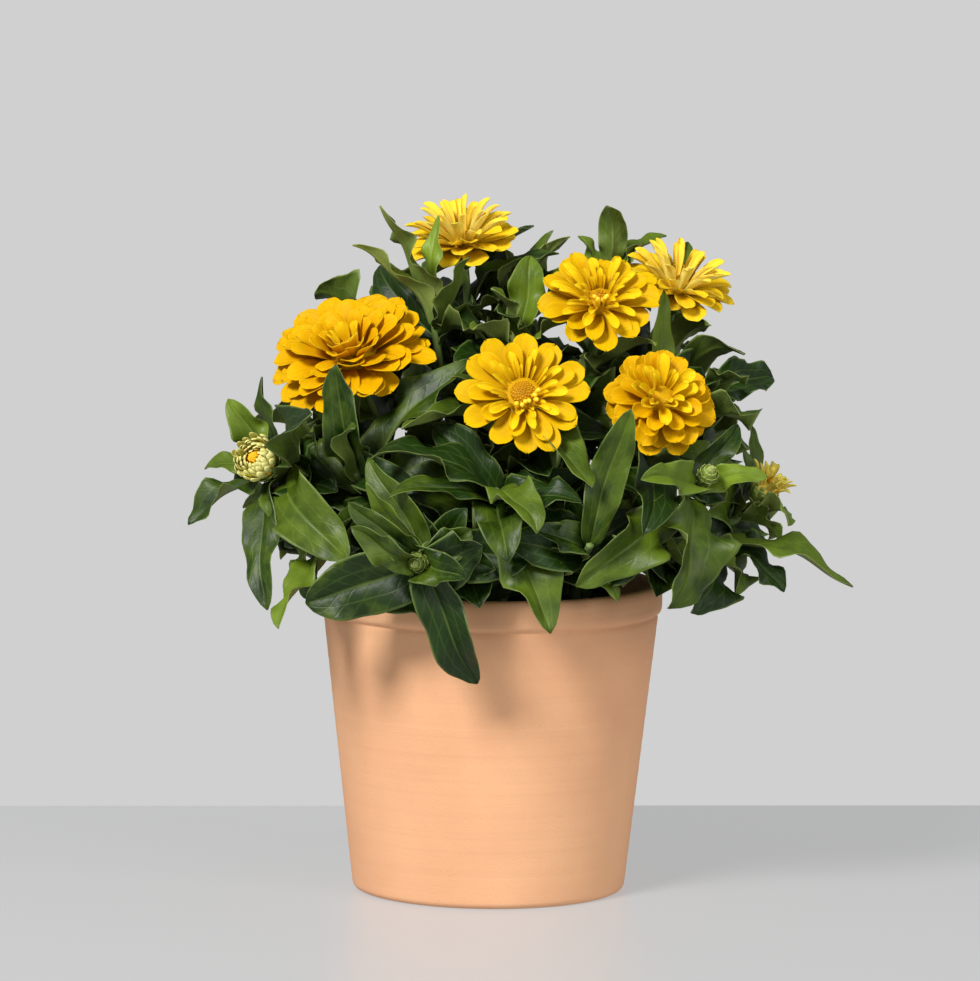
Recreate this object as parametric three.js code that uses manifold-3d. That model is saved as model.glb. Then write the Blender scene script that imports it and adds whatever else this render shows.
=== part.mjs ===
// A zinnia plant in its terracotta pot: soil, leafy stems, golden double blooms and green buds.
// Millimetres, +Z up. The origin is the middle of the pot's foot.

import * as THREE from "three";
import { mergeVertices } from "three/addons/utils/BufferGeometryUtils.js";
import Module from "manifold-3d";

const wasm = await Module();
wasm.setup();

// Terracotta pot
const POT_HEIGHT = 149;
const FOOT_RADIUS = 65.5;
const FOOT_ROUNDING = 3.5;
const WALL_RADIUS_UNDER_RIM = 80.7;
const RIM_RADIUS = 82.5;
const RIM_DEPTH = 14.5;
const RIM_INNER_RADIUS = 76.5;
const FLOOR_THICKNESS = 9;
const FLOOR_INNER_RADIUS = 58.5;
const RIM_CREASE = 2;
const DRAIN_HOLES = 3;
const DRAIN_RADIUS = 5;
const DRAIN_CIRCLE_RADIUS = 32;
const DRAIN_SIDES = 8;
const POT_SIDES = 28;

// Soil
const SOIL_EDGE_HEIGHT = 138;
const SOIL_CROWN_HEIGHT = 142;
const SOIL_ROUGHNESS = 1.2;
const CRUMB_PITCH = 0.3;
const GAP = 0.3;
const SMALLEST_DETAIL = 0.12;

// Stems
const STEM_RADIUS = 2.4;
const STEM_TIP_RADIUS = 1.9;
const STEM_SIDES = 5;
const STEM_STEPS = 4;
const STEM_UPRIGHT_SHARE = 0.4;
const STEM_NOD_SHARE = 0.3;
const ROOT_DEPTH = 24;
const ROOT_SPREAD = 0.4;

// Leaves and petals
const LEAF_THICKNESS = 1.4;
const PETAL_THICKNESS = 1.3;
const LEAF_BASE_WIDTH = 2.2;
const LEAF_FULLNESS = 0.9;
const LEAF_BLUNTNESS = 0.62;
const LEAF_BASE_OFFSET = 0.7;
const LARGE_LEAF_CUTS = [0, 0.24, 0.52, 0.78];
const SMALL_LEAF_CUTS = [0, 0.32, 0.68];
const SLIM_LEAF_CUTS = [0, 0.45];
const SMALL_LEAF_LIMIT = 17;
const SLIM_LEAF_LIMIT = 11;
const WIDE_PETAL_CUTS = [0, 0.45, 0.8, 1];
const NARROW_PETAL_CUTS = [0, 0.68, 1];
const NARROW_PETAL_LIMIT = 12;
const PETAL_SINK = 1.6;
const PETAL_ARCH = 0.04;
const KEEL_SHARE = 0.6;
const BEND_PLACES = [0.33, 0.72];
const EDGE_WAVES = 1.3;
const WAVE_LAG = 1.9;
const CORE_FOOT = 3;
const CORE_SIDES = 8;
const DISC_SIDES = 10;
const FLORET_RISE = 0.35;

// Room kept between a leaf and what it doesn't grow from
const LEAF_ROOM = 5;
const STEM_ROOM = 5.4;
const PETAL_ROOM = 5;
const POT_ROOM = 3;
const SISTER_ROOM = 3;
const FILL_ROOM = 2.4;

const COLOURS = {
  pot: 0xdba281,
  soil: 0x2e2219,
  leaf: 0x4e7a34,
  petal: 0xf9b80c,
  disc: 0xc98a1c,
  bud: 0xd3cf4a,
};

const DEGREE = Math.PI / 180;

// The same draws come out each time: a small generator with a fixed seed
let seed = 20611;

function draw(low, high) {
  seed = (seed * 16807) % 2147483647;
  return low + ((high - low) * seed) / 2147483647;
}

function vector(list) {
  return new THREE.Vector3(list[0], list[1], list[2]);
}

// Each bloom: a core of petal bases with rows of petals on its flank, from the lowest row up.
// A row is [petals, place on the flank 0-1, rise in degrees, length, width, curl, cup in degrees].
const BLOOM_SHAPES = {
  dome: {
    core: { radius: 16, top: 6, height: 7 },
    rows: [
      [12, 0.04, -2, 26, 15, -0.09, 8],
      [9, 0.3, 14, 24, 14.5, -0.07, 10],
      [7, 0.6, 34, 18, 12.5, -0.04, 12],
      [5, 0.9, 58, 11.5, 10, 0.0, 16],
    ],
    disc: null,
  },
  open: {
    core: { radius: 10, top: 8.6, height: 3 },
    rows: [
      [12, 0.1, 10, 20.5, 12, -0.08, 6],
      [8, 0.7, 28, 15, 8, 0.0, 12],
    ],
    disc: { radius: 6.4, height: 3.6 },
  },
  fan: {
    core: { radius: 9, top: 6, height: 6 },
    rows: [
      [12, 0.08, 9, 20, 11.6, -0.06, 8],
      [8, 0.5, 30, 17.5, 8.4, 0.0, 12],
      [5, 0.9, 54, 12.6, 6, 0.04, 16],
    ],
    disc: { radius: 4, height: 2.6 },
  },
  full: {
    core: { radius: 11, top: 5, height: 10 },
    rows: [
      [11, 0.06, -6, 15.4, 11.2, -0.1, 8],
      [9, 0.34, 15, 15, 10.6, -0.06, 10],
      [7, 0.62, 38, 13.4, 9, -0.02, 14],
      [4, 0.9, 60, 11.4, 6.8, 0.04, 16],
    ],
    disc: null,
  },
  cup: {
    core: { radius: 8, top: 5.4, height: 6 },
    rows: [
      [10, 0.06, 5, 19.5, 9.2, -0.03, 10],
      [8, 0.34, 24, 20.5, 8.2, 0.0, 12],
      [6, 0.64, 43, 20, 7, 0.03, 14],
      [4, 0.94, 64, 18, 6, 0.05, 16],
    ],
    disc: { radius: 3.2, height: 2.4 },
  },
  opening: {
    core: { radius: 8.8, top: 5.6, height: 3 },
    rows: [
      [7, 0.1, 66, 7.5, 6, 0.34, 12],
      [5, 0.7, 80, 6.4, 5, 0.3, 12],
    ],
    disc: null,
  },
  spiky: {
    core: { radius: 6.6, top: 4, height: 3 },
    rows: [
      [9, 0.1, 44, 11, 3, 0.02, 12],
      [7, 0.6, 62, 9.5, 3, 0.02, 12],
    ],
    disc: { radius: 2.2, height: 4 },
  },
};

// Each shoot: its name, what it ends in, the middle of that end and the way it faces, and the
// leaves that show, each as [place on the stem 0-1, tip, width, lift, curl, roll in degrees].
const SHOOTS = [
  {
    name: "back_left", end: "cup", heart: [-15, 18, 309], facing: [-0.08, -0.27, 0.96],
    leaves: [
      [0.84, [17, 48, 319], 18, 0.1, 0.12, 0],
      [0.8, [28, 26, 311], 16, 0.12, 0.1, 20],
    ],
  },
  {
    name: "left", end: "dome", heart: [-67, -32, 259], facing: [-0.28, -0.48, 0.83],
    leaves: [],
  },
  {
    name: "upper_centre", end: "fan", heart: [50, -30, 285], facing: [0, -0.72, 0.69],
    leaves: [
      [0.8, [33, 14, 288], 14, 0.1, 0.06, 0],
      [0.7, [77, -42, 271], 10, 0.14, 0.1, 0],
      [0.6, [43, -50, 268], 13, 0.1, 0.04, -20],
    ],
  },
  {
    name: "front", end: "open", heart: [14, -80, 246], facing: [0.04, -0.87, 0.49],
    leaves: [
      [0.7, [-17, -74, 259], 9, 0.08, 0.1, 0],
      [0.66, [-40, -98, 236], 15, 0.2, 0.1, 30],
      [0.72, [46, -108, 206], 18, 0.2, 0.16, 0],
    ],
  },
  {
    name: "right", end: "full", heart: [78, -63, 241], facing: [0.15, -0.82, 0.55],
    leaves: [
      [0.6, [72, -114, 208], 22, 0.3, 0.3, -10],
      [0.7, [85, -14, 292], 13, 0.05, 0.05, 0],
    ],
  },
  {
    name: "back_right", end: "cup", heart: [88, 15, 288], facing: [0.2, -0.33, 0.92],
    leaves: [
      [0.66, [121, -34, 266], 18, 0.12, 0.1, 0],
      [0.76, [109, -2, 277], 12, 0.1, 0.1, 0],
      [0.78, [96, 56, 314], 13, 0.1, 0.08, 0],
    ],
  },
  {
    name: "far_left", end: "opening", heart: [-110, -41, 210], facing: [-0.45, -0.8, 0.35],
    leaves: [
      [0.84, [-75, -94, 248], 20, 0, 0.1, 0],
      [0.93, [-131, -46, 239], 13, 0.12, 0.04, 0],
      [0.95, [-144, -38, 215], 11, 0.1, 0.06, 25],
      [0.93, [-147, -60, 185], 18, 0.16, 0.02, 30],
      [0.9, [-104, -72, 143], 15, 0.3, 0.08, 0],
      [0.86, [-75, -96, 175], 24, 0.3, 0.1, 0],
      [0.86, [-110, -18, 248], 11, 0.06, 0.1, 0],
    ],
  },
  {
    name: "far_right", end: "spiky", heart: [131, -18, 197], facing: [0.5, -0.25, 0.83],
    leaves: [
      [0.9, [144, -42, 190], 12, 0.2, 0.2, 0],
      [0.86, [139, -34, 172], 14, 0.24, 0.16, 0],
      [0.8, [128, 12, 226], 9, 0.1, 0.06, 0],
      [0.84, [129, -14, 219], 9, 0.1, 0.1, 0],
    ],
  },
  {
    name: "right_bud", end: "closed", heart: [100, -77, 208], facing: [0.3, -0.7, 0.65],
    leaves: [
      [0.9, [130, -72, 211], 9, 0.1, 0.14, 0],
      [0.88, [69, -112, 209], 13, 0.24, 0.2, 0],
      [0.8, [82, -96, 146], 27, 0.34, 0.1, 0],
      [0.84, [115, -52, 232], 11, 0.06, 0.1, 0],
      [0.74, [43, -108, 165], 21, 0.26, 0.14, 0],
    ],
  },
  {
    name: "front_left", end: "closed", heart: [-33, -114, 172], facing: [-0.3, -0.75, -0.1],
    leaves: [
      [0.94, [-65, -124, 201], 11, 0.14, 0.1, 0],
      [0.9, [-57, -98, 219], 13, 0.1, 0.1, 20],
      [0.92, [-58, -120, 209], 8, 0.1, 0.06, 0],
      [0.95, [-65, -131, 188], 12, 0.2, 0.14, 0],
      [0.9, [-12, -130, 166], 15, 0.3, 0.2, 0],
      [0.93, [-4, -100, 113], 18, 0.3, 0.06, 0],
      [0.74, [-86, -96, 149], 26, 0.12, 0.08, -20],
    ],
  },
  {
    name: "low_left", end: "tuft", heart: [-80, -58, 176], facing: [-0.5, -0.5, 0.7],
    leaves: [
      [0.97, [-91, -64, 189], 12, 0.4, 0.2, 0],
      [0.98, [-97, -62, 180], 11, 0.24, 0.16, 0],
      [0.94, [-95, -56, 165], 10, 0.3, 0.1, 0],
      [0.86, [-94, -66, 149], 16, 0.2, 0.14, 0],
      [0.8, [-97, -98, 138], 13, 0.24, 0.1, 0],
    ],
  },
  {
    name: "upper_left", end: "tuft", heart: [-29, -14, 285], facing: [-0.05, -0.1, 1],
    leaves: [
      [0.97, [-53, -36, 332], 15, 0.04, -0.06, 0],
      [0.9, [-65, -20, 315], 11, 0.14, 0.14, 0],
      [0.86, [-72, 16, 294], 19, 0.06, 0.1, -60],
      [0.94, [-34, 4, 328], 9, 0.04, 0.02, 0],
      [0.9, [-12, -32, 307], 16, -0.14, 0.1, 0],
    ],
  },
  {
    name: "centre", end: "tuft", heart: [12, -20, 272], facing: [0.05, -0.2, 1],
    leaves: [
      [0.92, [0, -34, 294], 13, 0.14, 0.1, 0],
      [0.97, [12, -42, 289], 14, 0.1, 0.1, 0],
      [0.86, [-12, -52, 279], 14, 0.14, 0.04, 0],
      [0.97, [18, -14, 308], 15, 0.05, 0.05, 0],
      [0.9, [34, -36, 288], 13, 0.1, 0.1, 0],
    ],
  },
  {
    name: "top_centre", end: "tuft", heart: [56, 22, 300], facing: [0, 0, 1],
    leaves: [
      [0.99, [57, 10, 331], 12, 0.04, 0.04, 0],
      [0.96, [66, 24, 318], 9, 0.06, 0.06, 0],
      [0.93, [40, 32, 313], 10, 0.1, 0.08, 0],
      [0.96, [84, 34, 318], 10, 0.1, 0.1, 0],
      [0.9, [56, 52, 306], 14, 0.14, 0.1, 0],
    ],
  },
  {
    name: "far_right_upper", end: "tuft", heart: [106, -14, 250], facing: [0.3, -0.1, 0.95],
    leaves: [
      [0.9, [117, -48, 253], 14, 0.22, 0.14, 0],
      [0.92, [136, 10, 251], 16, 0.16, 0.1, 20],
      [0.7, [116, 20, 268], 15, 0.1, 0.05, 0],
    ],
  },
  {
    name: "low_right", end: "tuft", heart: [112, -44, 176], facing: [0.7, -0.4, 0.55],
    leaves: [
      [0.95, [171, -52, 154], 16, 0.2, 0.06, 0],
      [0.9, [117, -58, 151], 24, 0.24, 0.1, 0],
      [0.84, [99, -78, 143], 22, 0.24, 0.1, 0],
      [0.9, [149, -30, 156], 15, 0.24, 0.12, 0],
    ],
  },
  {
    name: "front_right", end: "tuft", heart: [46, -92, 178], facing: [0.2, -0.6, 0.75],
    leaves: [
      [0.76, [61, -90, 152], 9, 0.2, 0.1, 0],
      [0.86, [31, -122, 181], 14, 0.24, 0.16, 0],
      [0.97, [60, -106, 243], 15, 0.04, -0.1, 0],
    ],
  },
  {
    name: "front_middle", end: "tuft", heart: [2, -84, 202], facing: [0, -0.6, 0.8],
    leaves: [
      [0.97, [21, -126, 189], 16, 0.24, 0.16, 0],
      [0.9, [-54, -108, 226], 22, 0.16, 0.16, 20],
      [0.86, [-50, -112, 208], 11, 0.14, 0.1, 0],
      [0.8, [2, -120, 174], 20, 0.3, 0.18, 0],
      [0.62, [28, -112, 140], 24, 0.34, 0.1, 0],
    ],
  },
  {
    name: "left_rim", end: "tuft", heart: [-64, -64, 208], facing: [-0.3, -0.6, 0.75],
    leaves: [
      [0.9, [-21, -60, 267], 20, 0.02, 0.02, 0],
      [0.95, [-73, -86, 259], 16, 0.1, 0.06, 10],
      [0.93, [-66, -98, 241], 10, 0.16, 0.06, 0],
      [0.9, [-42, -106, 198], 15, 0.24, 0.16, 0],
    ],
  },
  {
    name: "rear_left", end: "tuft", heart: [-96, 46, 228], facing: [-0.6, 0.4, 0.7],
    leaves: [],
  },
  {
    name: "rear_middle", end: "closed", heart: [-34, 98, 236], facing: [-0.2, 0.6, 0.78],
    leaves: [],
  },
  {
    name: "rear_right", end: "closed", heart: [44, 100, 230], facing: [0.25, 0.6, 0.76],
    leaves: [],
  },
  {
    name: "far_rear_right", end: "tuft", heart: [104, 70, 214], facing: [0.6, 0.4, 0.7],
    leaves: [],
  },
  {
    name: "rear_top", end: "tuft", heart: [8, 52, 280], facing: [0, 0, 1],
    leaves: [
      [0.97, [3, 44, 308], 14, 0.06, 0.08, 0],
      [0.95, [26, 32, 301], 15, 0.08, 0.08, 0],
      [0.93, [38, 34, 313], 12, 0.08, 0.06, 0],
      [0.85, [23, 30, 313], 15, 0.05, -0.05, 50],
      [0.8, [33, 18, 300], 16, 0.05, -0.05, 60],
      [0.75, [12, 16, 304], 15, 0.05, -0.05, -40],
    ],
  },
  {
    name: "rear_upper_left", end: "tuft", heart: [-58, 36, 272], facing: [-0.3, 0.3, 0.9],
    leaves: [],
  },
];

// Leaves that fill each stem below, in pairs that cross from level to level. One that would reach
// out of the round of the bush stays shorter, by the first of these parts that keeps it inside.
const FILL_LEVELS = [0.96, 0.76, 0.54, 0.34];
const FILL_LENGTHS = [52, 66, 76, 78];
const FILL_RISES = [32, 16, 2, -4];
const FILL_WIDTH_SHARE = 0.42;
const FILL_PARTS = [1, 0.88, 0.76, 0.64];
const BUSH_HEART = [4, 0, 190];
const BUSH_REACH = [118, 112, 130];
const SKIRT_PLACE = 0.3;
const SKIRT_LENGTH = 84;
const SKIRT_RISE = -6;
const SKIRT_REACH = 70;
const TRIES = [
  [0, 0, 1], [14, 0, 1], [-14, 0, 1], [0, 14, 1], [0, -14, 1], [28, 6, 1], [-28, 6, 1],
  [14, 20, 0.9], [-14, 20, 0.9], [14, -18, 0.9], [-14, -18, 0.9], [42, 0, 0.85], [-42, 0, 0.85],
  [0, 32, 0.85], [0, -30, 0.85], [0, 0, 0.7], [24, 16, 0.7], [-24, 16, 0.7], [0, 44, 0.7],
];
const SHOWN_TRIES = [
  [0, 0, 1], [5, 0, 1], [-5, 0, 1], [0, 5, 1], [0, -5, 1], [8, 5, 1], [-8, 5, 1], [8, -5, 1],
  [-8, -5, 1], [12, 0, 1], [-12, 0, 1], [0, 11, 1], [0, -11, 1], [16, 8, 0.95], [-16, 8, 0.95],
  [0, 0, 0.85], [10, 0, 0.85], [-10, 0, 0.85], [20, 0, 0.9], [-20, 0, 0.9], [0, 18, 0.9],
  [0, -18, 0.9], [28, 12, 0.85], [-28, 12, 0.85], [28, -12, 0.85], [-28, -12, 0.85],
];

// Blades: a leaf or petal bends along a cubic curve from its root to its tip

function makeBlade(root, tip, up, spec) {
  const chord = tip.clone().sub(root);
  const length = chord.length();
  const along = chord.clone().normalize();
  const side = new THREE.Vector3().crossVectors(along, up).normalize();
  side.applyAxisAngle(along, (spec.roll || 0) * DEGREE);
  const normal = new THREE.Vector3().crossVectors(side, along);
  const bend = (share, rise) =>
    root.clone().addScaledVector(chord, share).addScaledVector(normal, rise * length);
  const first = bend(BEND_PLACES[0], spec.lift);
  const second = bend(BEND_PLACES[1], spec.curl);
  return {
    curve: new THREE.CubicBezierCurve3(root, first, second, tip),
    side,
    width: spec.width,
    cup: spec.cup * DEGREE,
    ripple: spec.ripple || 0,
    phase: spec.phase || 0,
    profile: spec.profile,
    thickness: spec.thickness,
  };
}

function bladeHalfWidth(blade, share) {
  if (blade.profile === "leaf") {
    const rounded = Math.sin(Math.PI * share ** LEAF_FULLNESS) ** LEAF_BLUNTNESS;
    return 0.5 * (LEAF_BASE_WIDTH * (1 - share) + blade.width * rounded);
  }
  const spread = 0.22 + 0.78 * Math.sin((Math.PI / 2) * Math.min(1, share / 0.75));
  const past = Math.max(0, (share - 0.75) / 0.25);
  return (blade.width / 2) * spread * Math.sqrt(1 - 0.7 * past * past);
}

// A point on the blade: share runs from root to tip, reach from one edge (-1) to the other (1)
function bladePoint(blade, share, reach, raise = 0) {
  const half = bladeHalfWidth(blade, share);
  const along = blade.curve.getTangent(share);
  const side = blade.side.clone().addScaledVector(along, -blade.side.dot(along)).normalize();
  const normal = new THREE.Vector3().crossVectors(side, along);
  const lag = reach < 0 ? WAVE_LAG : 0;
  const wave = Math.sin(2 * Math.PI * EDGE_WAVES * share + blade.phase + lag);
  const cupped = Math.abs(reach) * half * Math.sin(blade.cup);
  const waved = blade.ripple * half * reach * reach * wave;
  return blade.curve
    .getPoint(share)
    .addScaledVector(side, reach * half * Math.cos(blade.cup))
    .addScaledVector(normal, cupped + waved + raise);
}

// Leaf: thickest at its midrib, thin at both edges, pointed. Both faces are split into triangles
// alike, so that a waved leaf keeps its thickness.
function leafSolid(blade) {
  const small = blade.width < SLIM_LEAF_LIMIT ? SLIM_LEAF_CUTS : SMALL_LEAF_CUTS;
  const cuts = blade.width < SMALL_LEAF_LIMIT ? small : LARGE_LEAF_CUTS;
  const points = [];
  const triangles = [];
  for (const share of cuts) {
    const half = (blade.thickness / 2) * (1 - 0.4 * share);
    points.push(bladePoint(blade, share, -1), bladePoint(blade, share, 0, half));
    points.push(bladePoint(blade, share, 1), bladePoint(blade, share, 0, -half));
  }
  for (let i = 0; i < cuts.length - 1; i++) {
    const [left, top, right, under] = [0, 1, 2, 3].map((k) => 4 * i + k);
    const [nextLeft, nextTop, nextRight, nextUnder] = [4, 5, 6, 7].map((k) => 4 * i + k);
    triangles.push([left, top, nextTop], [left, nextTop, nextLeft]);
    triangles.push([top, right, nextTop], [right, nextRight, nextTop]);
    triangles.push([left, nextUnder, under], [left, nextLeft, nextUnder]);
    triangles.push([under, nextUnder, right], [right, nextUnder, nextRight]);
  }
  triangles.push([0, 3, 1], [1, 3, 2]);
  const last = 4 * (cuts.length - 1);
  const apex = points.push(blade.curve.getPoint(1)) - 1;
  for (let k = 0; k < 4; k++) {
    triangles.push([last + k, last + ((k + 1) % 4), apex]);
  }
  return solidOf(points, triangles);
}

// Petal: three corners in section, its two edges and a keel along the middle of its back
function petalSolid(blade) {
  const cuts = blade.width > NARROW_PETAL_LIMIT ? WIDE_PETAL_CUTS : NARROW_PETAL_CUTS;
  const points = [];
  const triangles = [[0, 2, 1]];
  for (const share of cuts) {
    points.push(bladePoint(blade, share, -1), bladePoint(blade, share, 1));
    points.push(bladePoint(blade, share, 0, -KEEL_SHARE * blade.thickness));
  }
  for (let i = 0; i < cuts.length - 1; i++) {
    const [left, right, keel] = [0, 1, 2].map((k) => 3 * i + k);
    const [nextLeft, nextRight, nextKeel] = [3, 4, 5].map((k) => 3 * i + k);
    triangles.push([left, right, nextRight], [left, nextRight, nextLeft]);
    triangles.push([left, nextKeel, keel], [left, nextLeft, nextKeel]);
    triangles.push([right, keel, nextKeel], [right, nextKeel, nextRight]);
  }
  const last = 3 * (cuts.length - 1);
  triangles.push([last, last + 1, last + 2]);
  return solidOf(points, triangles);
}

function solidOf(points, triangles) {
  const vertProperties = new Float32Array(points.flatMap((point) => point.toArray()));
  const triVerts = new Uint32Array(triangles.flat());
  return new wasm.Manifold(new wasm.Mesh({ numProp: 3, vertProperties, triVerts }));
}

function solidOfGeometry(geometry) {
  geometry.deleteAttribute("normal");
  geometry.deleteAttribute("uv");
  const merged = mergeVertices(geometry, 1e-4);
  const mesh = new wasm.Mesh({
    numProp: 3,
    vertProperties: merged.attributes.position.array,
    triVerts: new Uint32Array(merged.index.array),
  });
  return new wasm.Manifold(mesh);
}

// A round shape turned about Z from [radius, height] points that run upwards on its outside
function turned(profile, sides, turn = 0) {
  const outline = profile.map(([radius, height]) => new THREE.Vector2(radius, height));
  return new THREE.LatheGeometry(outline, sides).rotateX(Math.PI / 2).rotateZ(turn);
}

// Puts a shape made about Z at a place, with its Z along an axis
function placed(geometry, place, axis) {
  const turn = new THREE.Quaternion().setFromUnitVectors(new THREE.Vector3(0, 0, 1), axis);
  return geometry.applyQuaternion(turn).translate(place.x, place.y, place.z);
}

// Joins solids into one body: a hollow that joining seals is filled, and a loose scrap is dropped
function joined(solids) {
  const bodies = wasm.Manifold.union(solids).simplify(SMALLEST_DETAIL).decompose();
  return bodies.reduce((largest, body) => (body.volume() > largest.volume() ? body : largest));
}

// Pot: a turned wall with a rounded foot, a raised rim and drain holes around a solid middle

function outerRadius(height) {
  const share = Math.min(1, Math.max(0, height / (POT_HEIGHT - RIM_DEPTH)));
  return FOOT_RADIUS + (WALL_RADIUS_UNDER_RIM - FOOT_RADIUS) * share;
}

function innerRadius(height) {
  const share = (height - FLOOR_THICKNESS) / (POT_HEIGHT - FLOOR_THICKNESS);
  return FLOOR_INNER_RADIUS + (RIM_INNER_RADIUS - FLOOR_INNER_RADIUS) * share;
}

function potSolid() {
  const rimFoot = POT_HEIGHT - RIM_DEPTH;
  const profile = [
    [0, 0],
    [FOOT_RADIUS - FOOT_ROUNDING, 0],
    [outerRadius(FOOT_ROUNDING), FOOT_ROUNDING],
    [outerRadius(rimFoot - RIM_CREASE), rimFoot - RIM_CREASE],
    [WALL_RADIUS_UNDER_RIM - 0.8, rimFoot - 0.6],
    [RIM_RADIUS - 0.3, rimFoot + 1.4],
    [RIM_RADIUS, POT_HEIGHT - 2.6],
    [RIM_RADIUS - 2.2, POT_HEIGHT],
    [RIM_INNER_RADIUS + 1.2, POT_HEIGHT],
    [RIM_INNER_RADIUS, POT_HEIGHT - 1.6],
    [FLOOR_INNER_RADIUS, FLOOR_THICKNESS + 3],
    [FLOOR_INNER_RADIUS - 3, FLOOR_THICKNESS],
    [0, FLOOR_THICKNESS],
  ];
  const drains = [];
  for (let i = 0; i < DRAIN_HOLES; i++) {
    const angle = (2 * Math.PI * i) / DRAIN_HOLES;
    const above = FLOOR_THICKNESS + 1;
    const hole = [[0, -1], [DRAIN_RADIUS, -1], [DRAIN_RADIUS, above], [0, above]];
    const x = DRAIN_CIRCLE_RADIUS * Math.cos(angle);
    const y = DRAIN_CIRCLE_RADIUS * Math.sin(angle);
    drains.push(solidOfGeometry(turned(hole, DRAIN_SIDES).translate(x, y, 0)));
  }
  return solidOfGeometry(turned(profile, POT_SIDES)).subtract(wasm.Manifold.union(drains));
}

// Soil: it fills the pot, crowned and crumbly on top, with a plain hole for each stem

function soilHeight(radius) {
  const share = radius / innerRadius(SOIL_EDGE_HEIGHT);
  return SOIL_CROWN_HEIGHT - (SOIL_CROWN_HEIGHT - SOIL_EDGE_HEIGHT) * share * share;
}

function soilSolid(roots) {
  const edge = innerRadius(SOIL_EDGE_HEIGHT) - GAP - 0.3;
  const profile = [
    [0, FLOOR_THICKNESS + GAP],
    [FLOOR_INNER_RADIUS - 4, FLOOR_THICKNESS + GAP],
    [FLOOR_INNER_RADIUS - 0.6, FLOOR_THICKNESS + 4],
    [edge, SOIL_EDGE_HEIGHT],
    [edge * 0.7, soilHeight(edge * 0.7)],
    [0, SOIL_CROWN_HEIGHT],
  ];
  const geometry = turned(profile, POT_SIDES);
  const places = geometry.attributes.position;
  for (let i = 0; i < places.count; i++) {
    const [x, y, z] = [places.getX(i), places.getY(i), places.getZ(i)];
    if (z > SOIL_EDGE_HEIGHT + 0.5) {
      const crumb = Math.sin(CRUMB_PITCH * (x + 0.7 * y)) * Math.sin(CRUMB_PITCH * (0.9 * y - 0.6 * x));
      places.setZ(i, z + SOIL_ROUGHNESS * crumb);
    }
  }
  const holes = roots.map((root) => {
    const wide = STEM_RADIUS + GAP + 0.1;
    const low = soilHeight(0) - ROOT_DEPTH - GAP;
    const hole = [[0, low], [wide, low], [wide, POT_HEIGHT + 20], [0, POT_HEIGHT + 20]];
    return solidOfGeometry(turned(hole, STEM_SIDES, Math.PI / 2).translate(root.x, root.y, 0));
  });
  return solidOfGeometry(geometry).subtract(wasm.Manifold.union(holes));
}

// Stems: straight in the soil, then curved up to the head along the way that it faces

function calyxDepth(shoot) {
  const shape = BLOOM_SHAPES[shoot.end];
  return shape ? 4 + 0.75 * shape.core.radius : 0;
}

function makeStem(shoot) {
  const heart = vector(shoot.heart);
  const facing = vector(shoot.facing).normalize();
  const head = heart.clone().addScaledVector(facing, -calyxDepth(shoot));
  const ground = new THREE.Vector3(ROOT_SPREAD * heart.x, ROOT_SPREAD * heart.y, soilHeight(0));
  const rise = ground.distanceTo(head);
  const start = ground.clone().add(new THREE.Vector3(0, 0, STEM_UPRIGHT_SHARE * rise));
  const finish = head.clone().addScaledVector(facing, -STEM_NOD_SHARE * rise);
  const curve = new THREE.CubicBezierCurve3(ground, start, finish, head);
  return { heart, facing, ground, curve };
}

function stemSolid(stem) {
  const rings = [new THREE.Vector3(0, 0, -ROOT_DEPTH), new THREE.Vector3(0, 0, 0)].map((drop) => ({
    middle: stem.ground.clone().add(drop),
    along: new THREE.Vector3(0, 0, 1),
    radius: STEM_RADIUS,
  }));
  for (let i = 1; i <= STEM_STEPS; i++) {
    const share = i / STEM_STEPS;
    rings.push({
      middle: stem.curve.getPoint(share),
      along: stem.curve.getTangent(share),
      radius: STEM_RADIUS + (STEM_TIP_RADIUS - STEM_RADIUS) * share,
    });
  }
  const points = [];
  let across = new THREE.Vector3(1, 0, 0);
  for (const ring of rings) {
    across = across.addScaledVector(ring.along, -across.dot(ring.along)).normalize();
    for (let k = 0; k < STEM_SIDES; k++) {
      const spoke = across.clone().applyAxisAngle(ring.along, (2 * Math.PI * k) / STEM_SIDES);
      points.push(ring.middle.clone().addScaledVector(spoke, ring.radius));
    }
  }
  const triangles = [];
  for (let i = 0; i < rings.length - 1; i++) {
    for (let k = 0; k < STEM_SIDES; k++) {
      const [a, b] = [i * STEM_SIDES + k, i * STEM_SIDES + ((k + 1) % STEM_SIDES)];
      triangles.push([a, b, b + STEM_SIDES], [a, b + STEM_SIDES, a + STEM_SIDES]);
    }
  }
  const top = (rings.length - 1) * STEM_SIDES;
  for (let k = 1; k < STEM_SIDES - 1; k++) {
    triangles.push([0, k + 1, k], [top, top + k, top + k + 1]);
  }
  return solidOf(points, triangles);
}

// Calyx: the green cup of scales under a bloom, raised in rows that step in from ring to ring
function calyxSolid(stem, shape) {
  const wide = shape.core.radius - 0.6;
  const top = -CORE_FOOT - GAP;
  const deep = 0.75 * shape.core.radius + 2;
  const profile = [[0, top - deep], [2, top - deep], [3.2, top - 0.85 * deep]];
  profile.push([wide * 0.84, top - 0.55 * deep], [wide * 0.78, top - 0.48 * deep]);
  profile.push([wide, top - 0.15 * deep], [wide * 0.94, top], [0, top]);
  return solidOfGeometry(placed(turned(profile, CORE_SIDES), stem.heart, stem.facing));
}

// Closed bud: an egg of overlapping green scales on the end of its stem
function budSolid(stem) {
  const profile = [[0, -4], [2.6, -3], [4.4, 0], [4, 0.6], [4.7, 2.6]];
  profile.push([3.4, 4.6], [3.1, 5], [1.6, 6.6], [0, 7]);
  return solidOfGeometry(placed(turned(profile, CORE_SIDES), stem.heart, stem.facing));
}

// Bloom: rows of petals rooted in the flank of a core

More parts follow.
